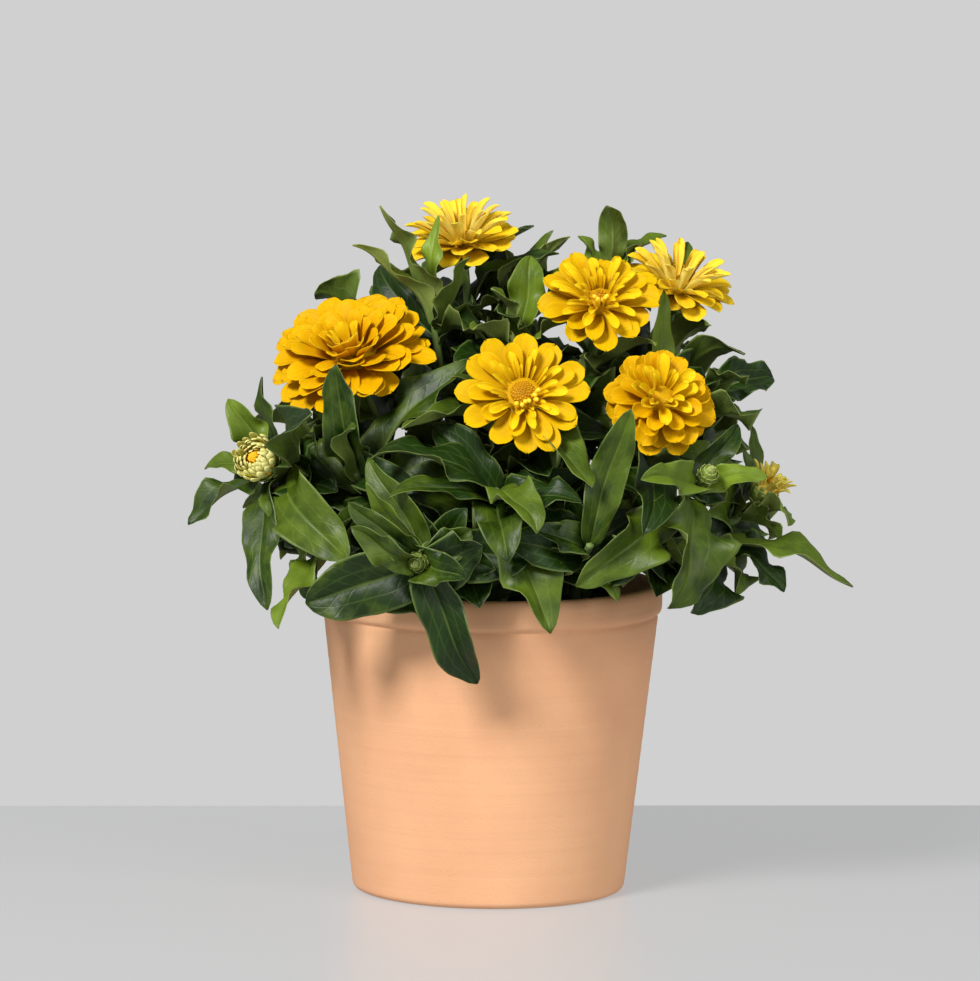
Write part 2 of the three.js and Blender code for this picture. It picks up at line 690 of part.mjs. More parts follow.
function axesOf(stem) {
  const across = new THREE.Vector3(1, 0, 0);
  across.addScaledVector(stem.facing, -across.dot(stem.facing)).normalize();
  return [across, new THREE.Vector3().crossVectors(stem.facing, across)];
}

function makePetals(stem, shape) {
  const [across, upward] = axesOf(stem);
  const petals = [];
  shape.rows.forEach(([count, flank, rise, length, width, curl, cup], row) => {
    const radius = shape.core.radius + (shape.core.top - shape.core.radius) * flank;
    const height = shape.core.height * flank;
    for (let k = 0; k < count; k++) {
      const angle = (2 * Math.PI * (k + 0.5 * (row % 2) + draw(-0.14, 0.14))) / count;
      const out = across.clone().multiplyScalar(Math.cos(angle));
      out.addScaledVector(upward, Math.sin(angle));
      const tilt = (rise + draw(-5, 5)) * DEGREE;
      const along = out.clone().multiplyScalar(Math.cos(tilt));
      along.addScaledVector(stem.facing, Math.sin(tilt));
      const up = stem.facing.clone().multiplyScalar(Math.cos(tilt));
      up.addScaledVector(out, -Math.sin(tilt));
      const root = stem.heart.clone().addScaledVector(out, radius);
      root.addScaledVector(stem.facing, height).addScaledVector(along, -PETAL_SINK);
      const reach = (length + PETAL_SINK) * draw(0.92, 1.06);
      const tip = root.clone().addScaledVector(along, reach);
      petals.push(makeBlade(root, tip, up, {
        width, cup,
        lift: PETAL_ARCH,
        curl: curl + PETAL_ARCH,
        profile: "petal",
        thickness: PETAL_THICKNESS,
      }));
    }
  });
  return petals;
}

function coreSolid(stem, core) {
  const profile = [[0, -CORE_FOOT], [core.radius, -CORE_FOOT], [core.radius, 0.4]];
  profile.push([core.top, core.height], [0, core.height]);
  return solidOfGeometry(placed(turned(profile, CORE_SIDES), stem.heart, stem.facing));
}

function bloomSolid(stem, shape, petals) {
  return joined([coreSolid(stem, shape.core), ...petals.map(petalSolid)]);
}

// Disc: a low dome of tiny florets in the eye of a bloom, the next floret round always lower
function discSolid(stem, shape) {
  const { radius, height } = shape.disc;
  const foot = shape.core.height + GAP;
  const profile = [[0, foot], [radius, foot], [0.87 * radius, foot + 0.5 * height]];
  profile.push([0.5 * radius, foot + 0.86 * height], [0, foot + height]);
  const geometry = turned(profile, DISC_SIDES);
  const places = geometry.attributes.position;
  for (let i = 0; i < places.count; i++) {
    const [x, y, z] = [places.getX(i), places.getY(i), places.getZ(i)];
    if (z > foot + GAP && Math.hypot(x, y) > GAP) {
      places.setZ(i, z + FLORET_RISE * Math.sin((DISC_SIDES / 2) * Math.atan2(y, x)));
    }
  }
  return solidOfGeometry(placed(geometry, stem.heart, stem.facing));
}

// Room: each leaf is bent clear of the stems, blooms, pot and leaves that it doesn't grow from

const obstacles = [];

function addObstacle(point, owner, room, kind) {
  obstacles.push({ point, owner, room, kind });
}

function leafSamples(blade) {
  const samples = [];
  for (let i = 2; i <= 9; i++) {
    for (const reach of [-1, -0.5, 0, 0.5, 1]) {
      samples.push(bladePoint(blade, i / 10, reach));
    }
  }
  samples.push(blade.curve.getPoint(1));
  return samples;
}

function potRoom(point) {
  const radius = Math.hypot(point.x, point.y);
  const middle = (RIM_RADIUS + RIM_INNER_RADIUS) / 2;
  if (point.z > POT_HEIGHT) {
    const beside = Math.max(0, Math.abs(radius - middle) - (RIM_RADIUS - middle));
    return Math.hypot(beside, point.z - POT_HEIGHT);
  }
  if (radius > middle) {
    return radius - RIM_RADIUS;
  }
  return Math.min(RIM_INNER_RADIUS - radius, point.z - soilHeight(radius) - 1);
}

function roomOf(samples, owner, leastUseful) {
  let least = Infinity;
  for (const sample of samples) {
    least = Math.min(least, potRoom(sample) - POT_ROOM);
    for (const obstacle of obstacles) {
      if (obstacle.owner === owner && obstacle.kind === "stem") {
        continue;
      }
      const room = obstacle.owner === owner && obstacle.kind === "leaf" ? SISTER_ROOM : obstacle.room;
      least = Math.min(least, sample.distanceTo(obstacle.point) - room);
      if (least < leastUseful) {
        return least;
      }
    }
  }
  return least;
}

function polar(length, heading, pitch) {
  const flat = length * Math.cos(pitch);
  const height = length * Math.sin(pitch);
  return new THREE.Vector3(flat * Math.cos(heading), flat * Math.sin(heading), height);
}

function bent(root, tip, [turn, rise, scale]) {
  const reach = tip.clone().sub(root);
  const heading = Math.atan2(reach.y, reach.x) + turn * DEGREE;
  const pitch = Math.atan2(reach.z, Math.hypot(reach.x, reach.y)) + rise * DEGREE;
  return root.clone().add(polar(reach.length() * scale, heading, pitch));
}

// The first try with room enough is taken, and otherwise the one with the most
function bestLeaf(shoot, stem, place, tip, spec, tries, wanted) {
  const up = stem.curve.getTangent(place);
  const root = stem.curve.getPoint(place);
  const outwards = tip.clone().sub(root);
  outwards.addScaledVector(up, -outwards.dot(up)).normalize();
  root.addScaledVector(outwards, LEAF_BASE_OFFSET);
  let best = null;
  let most = -Infinity;
  for (const change of tries) {
    const blade = makeBlade(root, bent(root, tip, change), up, spec);
    const room = roomOf(leafSamples(blade), shoot.name, most);
    if (room > most) {
      most = room;
      best = blade;
    }
    if (room >= wanted) {
      break;
    }
  }
  return { blade: best, room: most };
}

function leafSpec(width, lift, curl, roll) {
  return {
    width, lift, curl, roll,
    cup: draw(6, 20),
    ripple: draw(0.05, 0.2),
    phase: draw(0, 6.28),
    profile: "leaf",
    thickness: LEAF_THICKNESS,
  };
}

// Materials

function material(colour, roughness) {
  return new THREE.MeshStandardMaterial({ color: colour, roughness, metalness: 0 });
}

function meshOf(name, solid, colour, roughness) {
  const mesh = solid.getMesh();
  const geometry = new THREE.BufferGeometry();
  const places = new Float32Array(mesh.vertProperties);
  geometry.setAttribute("position", new THREE.BufferAttribute(places, 3));
  geometry.setIndex(new THREE.BufferAttribute(new Uint32Array(mesh.triVerts), 1));
  geometry.computeVertexNormals();
  const piece = new THREE.Mesh(geometry, material(colour, roughness));
  piece.name = name;
  return piece;
}

// The plant is laid out first: stems and blooms, then the leaves that show, then the rest

const growth = SHOOTS.map((shoot) => {
  const stem = makeStem(shoot);
  const shape = BLOOM_SHAPES[shoot.end];
  const petals = shape ? makePetals(stem, shape) : [];
  return { shoot, stem, shape, petals, leaves: [] };
});

for (const { shoot, stem, petals } of growth) {
  for (let i = 0; i <= 24; i++) {
    addObstacle(stem.curve.getPoint(i / 24), shoot.name, STEM_ROOM, "stem");
  }
  for (const petal of petals) {
    for (const share of [0.3, 0.65, 1]) {
      addObstacle(bladePoint(petal, share, 0), shoot.name, PETAL_ROOM, "petal");
    }
    addObstacle(bladePoint(petal, 0.85, -0.9), shoot.name, PETAL_ROOM, "petal");
    addObstacle(bladePoint(petal, 0.85, 0.9), shoot.name, PETAL_ROOM, "petal");
  }
}

function growLeaf(plan, place, tip, spec, shown) {
  const [tries, wanted] = shown ? [SHOWN_TRIES, 0] : [TRIES, FILL_ROOM];
  const { blade, room } = bestLeaf(plan.shoot, plan.stem, place, tip, spec, tries, wanted);
  if (!shown && room < wanted) {
    return;
  }
  plan.leaves.push(blade);
  for (const sample of leafSamples(blade)) {
    addObstacle(sample, plan.shoot.name, LEAF_ROOM, "leaf");
  }
}

for (const plan of growth) {
  for (const [place, tip, width, lift, curl, roll] of plan.shoot.leaves) {
    growLeaf(plan, place, vector(tip), leafSpec(width, lift, curl, roll), true);
  }
}

// The tip of a leaf that is as long as the round of the bush lets it be
function reaching(root, reach) {
  const inside = (part) => {
    const point = reach.clone().multiplyScalar(part).add(root).sub(vector(BUSH_HEART));
    return point.divide(vector(BUSH_REACH)).lengthSq() < 1;
  };
  const part = FILL_PARTS.find(inside) ?? FILL_PARTS.at(-1);
  return reach.clone().multiplyScalar(part).add(root);
}

// A skirt of broad low leaves spreads from the outer stems over the pot's rim
for (const plan of growth) {
  const { heart, curve } = plan.stem;
  const root = curve.getPoint(SKIRT_PLACE);
  const angle = Math.atan2(heart.y, heart.x) + draw(-0.2, 0.2);
  const spec = leafSpec(SKIRT_LENGTH * FILL_WIDTH_SHARE, 0.2, 0.1, draw(-10, 10));
  const length = SKIRT_LENGTH * draw(0.88, 1.04);
  if (Math.hypot(heart.x, heart.y) > SKIRT_REACH) {
    const tip = reaching(root, polar(length, angle, SKIRT_RISE * DEGREE));
    growLeaf(plan, SKIRT_PLACE, tip, spec, false);
  }
}

FILL_LEVELS.forEach((place, level) => {
  for (const plan of growth) {
    const first = plan.shoot.leaves.length > 0 ? 1 : 0;
    const heading = draw(0, 180) + 90 * level;
    for (const turn of [0, 180]) {
      const angle = (heading + turn) * DEGREE;
      const length = FILL_LENGTHS[level] * draw(0.85, 1.15);
      const pitch = (FILL_RISES[level] + draw(-8, 8)) * DEGREE;
      const [lift, curl, roll] = [draw(0.1, 0.24), draw(0.04, 0.14), draw(-15, 15)];
      const spec = leafSpec(length * FILL_WIDTH_SHARE, lift, curl, roll);
      if (level >= first) {
        const tip = reaching(plan.stem.curve.getPoint(place), polar(length, angle, pitch));
        growLeaf(plan, place, tip, spec, false);
      }
    }
  }
});

const plant = new THREE.Group();
plant.add(meshOf("pot", potSolid(), COLOURS.pot, 0.85));
plant.add(meshOf("soil", soilSolid(growth.map(({ stem }) => stem.ground)), COLOURS.soil, 0.95));

for (const { shoot, stem, shape, petals, leaves } of growth) {
  const green = [stemSolid(stem), ...leaves.map(leafSolid)];
  if (shape) {
    green.push(calyxSolid(stem, shape));
  }
  if (shoot.end === "closed") {
    green.push(budSolid(stem));
  }
  plant.add(meshOf("stem_" + shoot.name, joined(green), COLOURS.leaf, 0.6));
  if (shape) {
    const young = shoot.end === "opening" || shoot.end === "spiky";
    const colour = young ? COLOURS.bud : COLOURS.petal;
    plant.add(meshOf("petals_" + shoot.name, bloomSolid(stem, shape, petals), colour, 0.55));
  }
  if (shape && shape.disc) {
    plant.add(meshOf("disc_" + shoot.name, discSolid(stem, shape), COLOURS.disc, 0.7));
  }
}

export default plant;
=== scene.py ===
import math

import bpy
import numpy as np
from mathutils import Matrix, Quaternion, Vector


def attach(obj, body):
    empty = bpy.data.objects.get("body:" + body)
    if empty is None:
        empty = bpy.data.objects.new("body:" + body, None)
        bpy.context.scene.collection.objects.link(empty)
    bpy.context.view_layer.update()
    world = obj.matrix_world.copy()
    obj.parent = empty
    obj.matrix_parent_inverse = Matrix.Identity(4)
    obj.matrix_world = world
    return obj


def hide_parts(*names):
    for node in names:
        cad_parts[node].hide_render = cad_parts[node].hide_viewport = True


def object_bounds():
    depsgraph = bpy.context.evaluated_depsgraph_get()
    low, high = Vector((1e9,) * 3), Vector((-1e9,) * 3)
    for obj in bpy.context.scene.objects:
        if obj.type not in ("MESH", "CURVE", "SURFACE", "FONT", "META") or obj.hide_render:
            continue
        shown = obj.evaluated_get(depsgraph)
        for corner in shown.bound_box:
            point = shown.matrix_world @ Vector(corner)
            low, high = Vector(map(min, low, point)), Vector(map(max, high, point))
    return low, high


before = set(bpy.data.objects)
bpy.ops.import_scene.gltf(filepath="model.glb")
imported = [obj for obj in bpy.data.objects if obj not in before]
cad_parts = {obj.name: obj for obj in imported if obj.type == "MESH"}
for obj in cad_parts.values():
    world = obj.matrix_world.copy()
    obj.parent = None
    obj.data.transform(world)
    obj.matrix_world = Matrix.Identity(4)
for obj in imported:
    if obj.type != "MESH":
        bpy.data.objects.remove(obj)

cad_box = [list(corner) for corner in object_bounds()]

# A zinnia plant with golden double blooms in a terracotta pot. Places are worked out in
# millimetres, with the middle of the pot's foot at the origin, and turned into metres at the end.


# Studio: a pale, slightly glossy table that ends a little behind the pot, an even grey ground
# beyond it, and soft light from the upper left. The table glows faintly of itself, painted light
# that keeps the plant's shadow on it pale. The camera looks down a little, from far off.

CAMERA_PLACE = (0.0005, -2.783, 0.500)
CAMERA_AIM = (-0.0010, 0.0, 0.1925)
CAMERA_ROLL = math.radians(0.56)
CAMERA_LENS = 213.7
GROUND_COLOUR = (0.631, 0.631, 0.631, 1.0)
SOFT_LIGHT = 0.30
# The table's own colour is kept dark and it glows faintly of itself: painted light that keeps shadows on it
# pale.
TABLE_COLOUR = (0.19, 0.192, 0.195, 1.0)
TABLE_PAINTED_GLOW = 0.345
TABLE_REACH = 4.0
TABLE_BACK_LEFT = -0.0134
TABLE_BACK_RIGHT = 0.4866
TABLE_DEPTH = 0.03
LIGHT_AIM = (0, 0, 0.2)

camera = bpy.data.objects.new("camera", bpy.data.cameras.new("camera"))
bpy.context.scene.collection.objects.link(camera)
bpy.context.scene.camera = camera
camera.data.lens = CAMERA_LENS
camera.data.sensor_width = 36
camera.data.clip_end = 50
camera.location = CAMERA_PLACE
camera.rotation_mode = "QUATERNION"
sight = (Vector(CAMERA_AIM) - Vector(CAMERA_PLACE)).to_track_quat("-Z", "Y")
camera.rotation_quaternion = sight @ Quaternion((0, 0, 1), CAMERA_ROLL)
bpy.context.scene.view_settings.view_transform = "Standard"

world = bpy.data.worlds.new("even grey ground")
world.use_nodes = True
seen_ground = world.node_tree.nodes["Background"]
seen_ground.inputs["Color"].default_value = GROUND_COLOUR
soft_light = world.node_tree.nodes.new("ShaderNodeBackground")
soft_light.inputs["Color"].default_value = (0.96, 0.98, 1.0, 1.0)
soft_light.inputs["Strength"].default_value = SOFT_LIGHT
seen = world.node_tree.nodes.new("ShaderNodeLightPath").outputs["Is Camera Ray"]
ground_or_light = world.node_tree.nodes.new("ShaderNodeMixShader")
world.node_tree.links.new(seen, ground_or_light.inputs[0])
world.node_tree.links.new(soft_light.outputs[0], ground_or_light.inputs[1])
world.node_tree.links.new(seen_ground.outputs[0], ground_or_light.inputs[2])
world.node_tree.links.new(ground_or_light.outputs[0], world.node_tree.nodes["World Output"].inputs[0])
bpy.context.scene.world = world


def hang_light(name, place, size, watts, colour):
    """A round soft light, turned towards the plant."""
    light = bpy.data.objects.new(name, bpy.data.lights.new(name, "AREA"))
    light.data.shape = "DISK"
    light.data.size = size
    light.data.energy = watts
    light.data.color = colour
    light.location = place
    light.rotation_mode = "QUATERNION"
    light.rotation_quaternion = (Vector(LIGHT_AIM) - Vector(place)).to_track_quat("-Z", "Y")
    bpy.context.scene.collection.objects.link(light)


hang_light("key_light", (-1.1, -1.75, 1.9), size=0.8, watts=90, colour=(1.0, 0.985, 0.96))
hang_light("fill_light", (1.7, -1.6, 1.1), size=1.4, watts=22, colour=(1.0, 0.99, 0.97))


def add_node(tree, kind, inputs=(), **settings):
    """A new node, with values or other nodes' sockets set on its inputs."""
    node = tree.nodes.new("ShaderNode" + kind)
    for name, value in settings.items():
        setattr(node, name, value)
    for key, value in dict(inputs).items():
        if isinstance(value, bpy.types.NodeSocket):
            tree.links.new(value, node.inputs[key])
        else:
            node.inputs[key].default_value = value
    return node


def calculate(tree, operation, first, second=0.0, third=0.0):
    """One sum on sockets or numbers, by this operation."""
    return add_node(tree, "Math", {0: first, 1: second, 2: third}, operation=operation).outputs[0]


def mixed_colour(tree, share, first, second):
    """The first colour where the share is 0, and the second where it is 1."""
    return add_node(tree, "Mix", {0: share, 6: first, 7: second}, data_type="RGBA").outputs[2]


def new_material(name, roughness):
    """A material with its node tree and its shader."""
    material = bpy.data.materials.new(name)
    material.use_nodes = True
    shader = material.node_tree.nodes["Principled BSDF"]
    shader.inputs["Roughness"].default_value = roughness
    return material, material.node_tree, shader


table_material, tree, shader = new_material("table_top", roughness=0.38)
shader.inputs["Base Color"].default_value = TABLE_COLOUR
# Painted light: the table glows faintly of itself, so that the plant's shadow on it stays pale, with its
# base colour darkened to make up for the glow.
shader.inputs["Emission Color"].default_value = (1.0, 1.0, 1.0, 1.0)
shader.inputs["Emission Strength"].default_value = TABLE_PAINTED_GLOW
shader.inputs["Specular IOR Level"].default_value = 0.4
corners = [
    (x, y, z)
    for z in (-TABLE_DEPTH, 0.0)
    for x, y in (
        (-TABLE_REACH, -TABLE_REACH),
        (TABLE_REACH, -TABLE_REACH),
        (TABLE_REACH, TABLE_BACK_RIGHT),
        (-TABLE_REACH, TABLE_BACK_LEFT),
    )
]
table_faces = [(3, 2, 1, 0), (4, 5, 6, 7), (0, 1, 5, 4), (1, 2, 6, 5), (2, 3, 7, 6), (3, 0, 4, 7)]
table_mesh = bpy.data.meshes.new("table_top")
table_mesh.from_pydata(corners, [], table_faces)
table_mesh.materials.append(table_material)
table = bpy.data.objects.new("table_top", table_mesh)
bpy.context.scene.collection.objects.link(table)


# Terracotta pot: turned and fired clay, flared, with a rounded foot, a raised band at the rim, a
# crease under it and drain holes in the floor. Fine turning lines run round its wall.

POT_HEIGHT = 149
FOOT_RADIUS = 65.5
WALL_RADIUS_UNDER_RIM = 80.7
RIM_RADIUS = 82.5
RIM_DEPTH = 14.5
RIM_INNER_RADIUS = 76.5
FLOOR_THICKNESS = 9
FLOOR_INNER_RADIUS = 58.5
DRAIN_HOLES = 3
DRAIN_RADIUS = 5
DRAIN_CIRCLE_RADIUS = 32
DRAIN_SIDES = 24
DRAIN_BORE_FOOT = -2
DRAIN_BORE_TOP = 14
POT_SIDES = 144
WALL_RINGS = 60
FOOT_ROUND = 3.4
TURN_RING_RISE = 0.07
CLAY_LIGHT = (0.80, 0.440, 0.238, 1.0)
CLAY_DARK = (0.69, 0.350, 0.188, 1.0)
CLAY_SPECK = (0.42, 0.200, 0.095, 1.0)
MM = 0.001


def grid_faces(rows, columns, closed, start=0):
    """Four-cornered faces between the rows of a grid of points, round each row where it is closed."""
    across = np.arange(columns if closed else columns - 1)
    beside = (across + 1) % columns
    faces = []
    for row in range(rows - 1):
        low = start + row * columns
        high = low + columns
        faces.append(np.stack([low + across, low + beside, high + beside, high + across], 1))
    return np.concatenate(faces).tolist()


def capped_rings(rings, low, high):
    """A closed part from rings of points, with a middle point before the first and after the last."""
    count, sides = len(rings), len(rings[0])
    faces = grid_faces(count, sides, True)
    first, last = count * sides, (count - 1) * sides
    for k in range(sides):
        beside = (k + 1) % sides
        faces.append([first, beside, k])
        faces.append([first + 1, last + k, last + beside])
    along = np.append(np.repeat(np.linspace(0, 1, count), sides), [0, 1])
    around = np.append(np.tile(np.arange(sides) / sides, count), [0, 0])
    points = np.concatenate([*rings, [low], [high]])
    places = np.column_stack([along, around])
    return {"points": points, "faces": faces, "places": places, "tone": 0.5, "skins": 0}


def circle_points(sides):
    """Points spaced evenly round a circle of radius 1."""
    turns = 2 * np.pi * np.arange(sides) / sides
    return np.stack([np.cos(turns), np.sin(turns)], 1)


def turned_part(profile, sides):
    """A closed turned body from [radius, height] points; a profile starts and ends on the axis."""
    circle = circle_points(sides)
    rings = [np.column_stack([radius * circle, np.full(sides, height)]) for radius, height in profile[1:-1]]
    return capped_rings(rings, [0, 0, profile[0][1]], [0, 0, profile[-1][1]])


def out_at(turn):
    """A level unit vector at this turn about the axis."""
    return np.array([math.cos(turn), math.sin(turn), 0])


def make_mesh(name, parts, materials):
    """One mesh from closed parts in millimetres, with each part's tone and its places as UVs."""
    points, faces, skins, places, tones, start = [], [], [], [], [], 0
    for part in parts:
        count = len(part["points"])
        points.append(np.asarray(part["points"]) * MM)
        faces += [[start + corner for corner in face] for face in part["faces"]]
        skins.append(np.broadcast_to(part["skins"], len(part["faces"])))
        places.append(part["places"])
        tones.append(np.broadcast_to(part["tone"], count))
        start += count
    mesh = bpy.data.meshes.new(name)
    mesh.from_pydata(np.concatenate(points).tolist(), [], faces)
    corner_points = np.zeros(len(mesh.loops), np.int32)
    mesh.loops.foreach_get("vertex_index", corner_points)
    layer = mesh.uv_layers.new(name="blade")
    layer.uv.foreach_set("vector", np.concatenate(places)[corner_points].astype(np.float32).ravel())
    tone = mesh.attributes.new("tone", "FLOAT", "POINT")
    tone.data.foreach_set("value", np.concatenate(tones).astype(np.float32))
    mesh.polygons.foreach_set("material_index", np.concatenate(skins).astype(np.int32))
    mesh.polygons.foreach_set("use_smooth", np.ones(len(mesh.polygons), bool))
    for material in materials:
        mesh.materials.append(material)
    mesh.update()
    return mesh


def place_piece(name, mesh, slot, *nodes):
    """Stands a finished mesh in the scene as a piece that takes the place of these nodes."""
    piece = bpy.data.objects.new(name, mesh)
    bpy.context.scene.collection.objects.link(piece)
    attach(piece, "root")
    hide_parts(*nodes)


def mottle_group():
    """Cloudy patches over a surface: a mask from 0 to 1, and a finer height for a bump."""
    group = bpy.data.node_groups.new("mottle", "ShaderNodeTree")
    for name, value in (("Patches per metre", 40.0), ("Grains per metre", 900.0), ("Contrast", 2.0)):
        socket = group.interface.new_socket(name, in_out="INPUT", socket_type="NodeSocketFloat")
        socket.default_value = value
    for name in ("Patches", "Grains"):
        group.interface.new_socket(name, in_out="OUTPUT", socket_type="NodeSocketFloat")
    entry = group.nodes.new("NodeGroupInput")
    result = group.nodes.new("NodeGroupOutput")
    place = add_node(group, "TexCoord").outputs["Object"]
    cloud = {"Vector": place, "Scale": entry.outputs["Patches per metre"], "Detail": 3.0}
    patches = add_node(group, "TexNoise", cloud).outputs["Fac"]
    centred = calculate(group, "SUBTRACT", patches, 0.5)
    spread = calculate(group, "MULTIPLY_ADD", centred, entry.outputs["Contrast"], 0.5)
    kept = add_node(group, "Clamp", {0: spread}).outputs[0]
    fine = {"Vector": place, "Scale": entry.outputs["Grains per metre"], "Detail": 4.0}
    grains = add_node(group, "TexNoise", fine).outputs["Fac"]
    group.links.new(kept, result.inputs["Patches"])
    group.links.new(grains, result.inputs["Grains"])
    return group


MOTTLE = mottle_group()


def add_mottle(tree, patches, grains, contrast):
    """The mottle in a material, with its own number of patches and grains to the metre."""
    node = add_node(tree, "Group", node_tree=MOTTLE)
    node.inputs["Patches per metre"].default_value = patches
    node.inputs["Grains per metre"].default_value = grains
    node.inputs["Contrast"].default_value = contrast
    return node.outputs["Patches"], node.outputs["Grains"]


def add_bump(tree, shader, height, strength, depth_mm):
    """Fine relief on a surface, where a height from 0 to 1 stands for this depth."""
    bump = add_node(tree, "Bump", {"Height": height, "Strength": strength, "Distance": depth_mm * MM})
    tree.links.new(bump.outputs["Normal"], shader.inputs["Normal"])


clay_material, tree, shader = new_material("fired_clay", roughness=0.82)
patches, grains = add_mottle(tree, patches=14.0, grains=1400.0, contrast=2.4)
clay = mixed_colour(tree, patches, CLAY_DARK, CLAY_LIGHT)
specks = calculate(tree, "GREATER_THAN", grains, 0.665)
clay = mixed_colour(tree, calculate(tree, "MULTIPLY", specks, 0.3), clay, CLAY_SPECK)
place = add_node(tree, "TexCoord").outputs["Object"]
stretched = add_node(tree, "Mapping", {"Vector": place, "Scale": (3.0, 3.0, 420.0)}).outputs[0]
turning = add_node(tree, "TexNoise", {"Vector": stretched, "Scale": 1.0, "Detail": 2.0}).outputs["Fac"]
clay = mixed_colour(tree, calculate(tree, "MULTIPLY", turning, 0.22), clay, CLAY_LIGHT)
tree.links.new(clay, shader.inputs["Base Color"])
relief = calculate(tree, "MULTIPLY_ADD", turning, 0.8, grains)
add_bump(tree, shader, relief, strength=0.35, depth_mm=0.35)
shader.inputs["Specular IOR Level"].default_value = 0.3

rim_foot = POT_HEIGHT - RIM_DEPTH
pot_profile = [[0, 0], [FOOT_RADIUS - 6, 0]]
for turn in np.linspace(-90, 0, 6):
    bend = math.radians(turn)
    foot_radius = FOOT_RADIUS - 3.0 + FOOT_ROUND * math.cos(bend)
    pot_profile.append([foot_radius, FOOT_ROUND + FOOT_ROUND * math.sin(bend)])
for height in np.linspace(6, rim_foot - 2.4, WALL_RINGS):
    share = height / rim_foot
    ring = TURN_RING_RISE * math.sin(0.9 * height) * math.sin(0.23 * height + 1)
    pot_profile.append([FOOT_RADIUS + (WALL_RADIUS_UNDER_RIM - FOOT_RADIUS) * share + ring, height])
pot_profile += [
    [WALL_RADIUS_UNDER_RIM - 0.4, rim_foot - 1.4],
    [WALL_RADIUS_UNDER_RIM - 0.8, rim_foot - 0.5],
    [WALL_RADIUS_UNDER_RIM - 0.1, rim_foot + 0.3],
    [RIM_RADIUS - 0.7, rim_foot + 1.0],
    [RIM_RADIUS - 0.2, rim_foot + 2.2],
    [RIM_RADIUS, rim_foot + 4.5],
    [RIM_RADIUS, POT_HEIGHT - 5],
    [RIM_RADIUS - 0.3, POT_HEIGHT - 2.6],
    [RIM_RADIUS - 1.1, POT_HEIGHT - 0.9],
    [RIM_RADIUS - 2.4, POT_HEIGHT - 0.1],
    [RIM_INNER_RADIUS + 1.8, POT_HEIGHT],
    [RIM_INNER_RADIUS + 0.6, POT_HEIGHT - 0.8],
    [RIM_INNER_RADIUS, POT_HEIGHT - 2.4],
    [FLOOR_INNER_RADIUS, FLOOR_THICKNESS + 3],
    [FLOOR_INNER_RADIUS - 0.9, FLOOR_THICKNESS + 0.9],
    [FLOOR_INNER_RADIUS - 3, FLOOR_THICKNESS],
    [0, FLOOR_THICKNESS],
]
pot_body = bpy.data.objects.new("pot_body", make_mesh("pot", [turned_part(pot_profile, POT_SIDES)], []))
bore_profile = [[0, DRAIN_BORE_FOOT], [DRAIN_RADIUS, DRAIN_BORE_FOOT]]
bore_profile += [[DRAIN_RADIUS, DRAIN_BORE_TOP], [0, DRAIN_BORE_TOP]]
drains = []
for i in range(DRAIN_HOLES):
    bore = turned_part(bore_profile, DRAIN_SIDES)
    bore["points"] = bore["points"] + DRAIN_CIRCLE_RADIUS * out_at(2 * math.pi * i / DRAIN_HOLES)
    drains.append(bore)
drain_bores = bpy.data.objects.new("drain_bores", make_mesh("drain_bores", drains, []))
for part in (pot_body, drain_bores):
    bpy.context.scene.collection.objects.link(part)
cut = pot_body.modifiers.new("drains", "BOOLEAN")
cut.object = drain_bores
cut.operation = "DIFFERENCE"
bpy.context.view_layer.update()
pot_mesh = bpy.data.meshes.new_from_object(pot_body.evaluated_get(bpy.context.evaluated_depsgraph_get()))
for part in (pot_body, drain_bores):
    bpy.data.objects.remove(part)
pot_mesh.materials.clear()
pot_mesh.materials.append(clay_material)
place_piece("clay_pot", pot_mesh, "terracotta", "pot")


# Potting soil: a moist mix of dark peat and bark, crowned in the pot and crumbly on top, with
# shreds of bark lying on it.

SOIL_EDGE_HEIGHT = 138
SOIL_CROWN_HEIGHT = 142
SOIL_BASE_HEIGHT = FLOOR_THICKNESS + 0.3
SOIL_GAP = 0.6
SOIL_SIDES = 120
SOIL_RINGS = 34
SHREDS = 260
SHRED_SPREAD = 71
SHRED_LIFT = 0.5
SHRED_TIP = 0.7
SHRED_LEAST = (0.8, 0.6, 0.5)
SHRED_MOST = (3.2, 1.6, 1.0)
SOIL_DARK = (0.016, 0.010, 0.006, 1.0)
SOIL_LIGHT = (0.070, 0.042, 0.024, 1.0)


def inner_radius(height):
    """The radius inside the pot's wall at this height."""
    share = (height - FLOOR_THICKNESS) / (POT_HEIGHT - FLOOR_THICKNESS)
    return FLOOR_INNER_RADIUS + (RIM_INNER_RADIUS - FLOOR_INNER_RADIUS) * share


def soil_height(radius):
    """The height of the soil's smooth crown at this radius."""
    share = radius / inner_radius(SOIL_EDGE_HEIGHT)
    return SOIL_CROWN_HEIGHT - (SOIL_CROWN_HEIGHT - SOIL_EDGE_HEIGHT) * share * share


def soil_crumbs(x, y):
    """How far the crumbly top stands above or below the smooth crown."""
    coarse = np.sin(0.31 * x + 0.2 * y) * np.sin(0.27 * y - 0.17 * x)
    middle = np.sin(0.83 * x - 0.6 * y + 1.3) * np.sin(0.71 * y + 0.9 * x)
    fine = np.sin(2.1 * x + 1.7 * y + 0.4) * np.sin(1.9 * y - 2.3 * x)
    return 1.1 * coarse + 0.7 * middle + 0.45 * fine


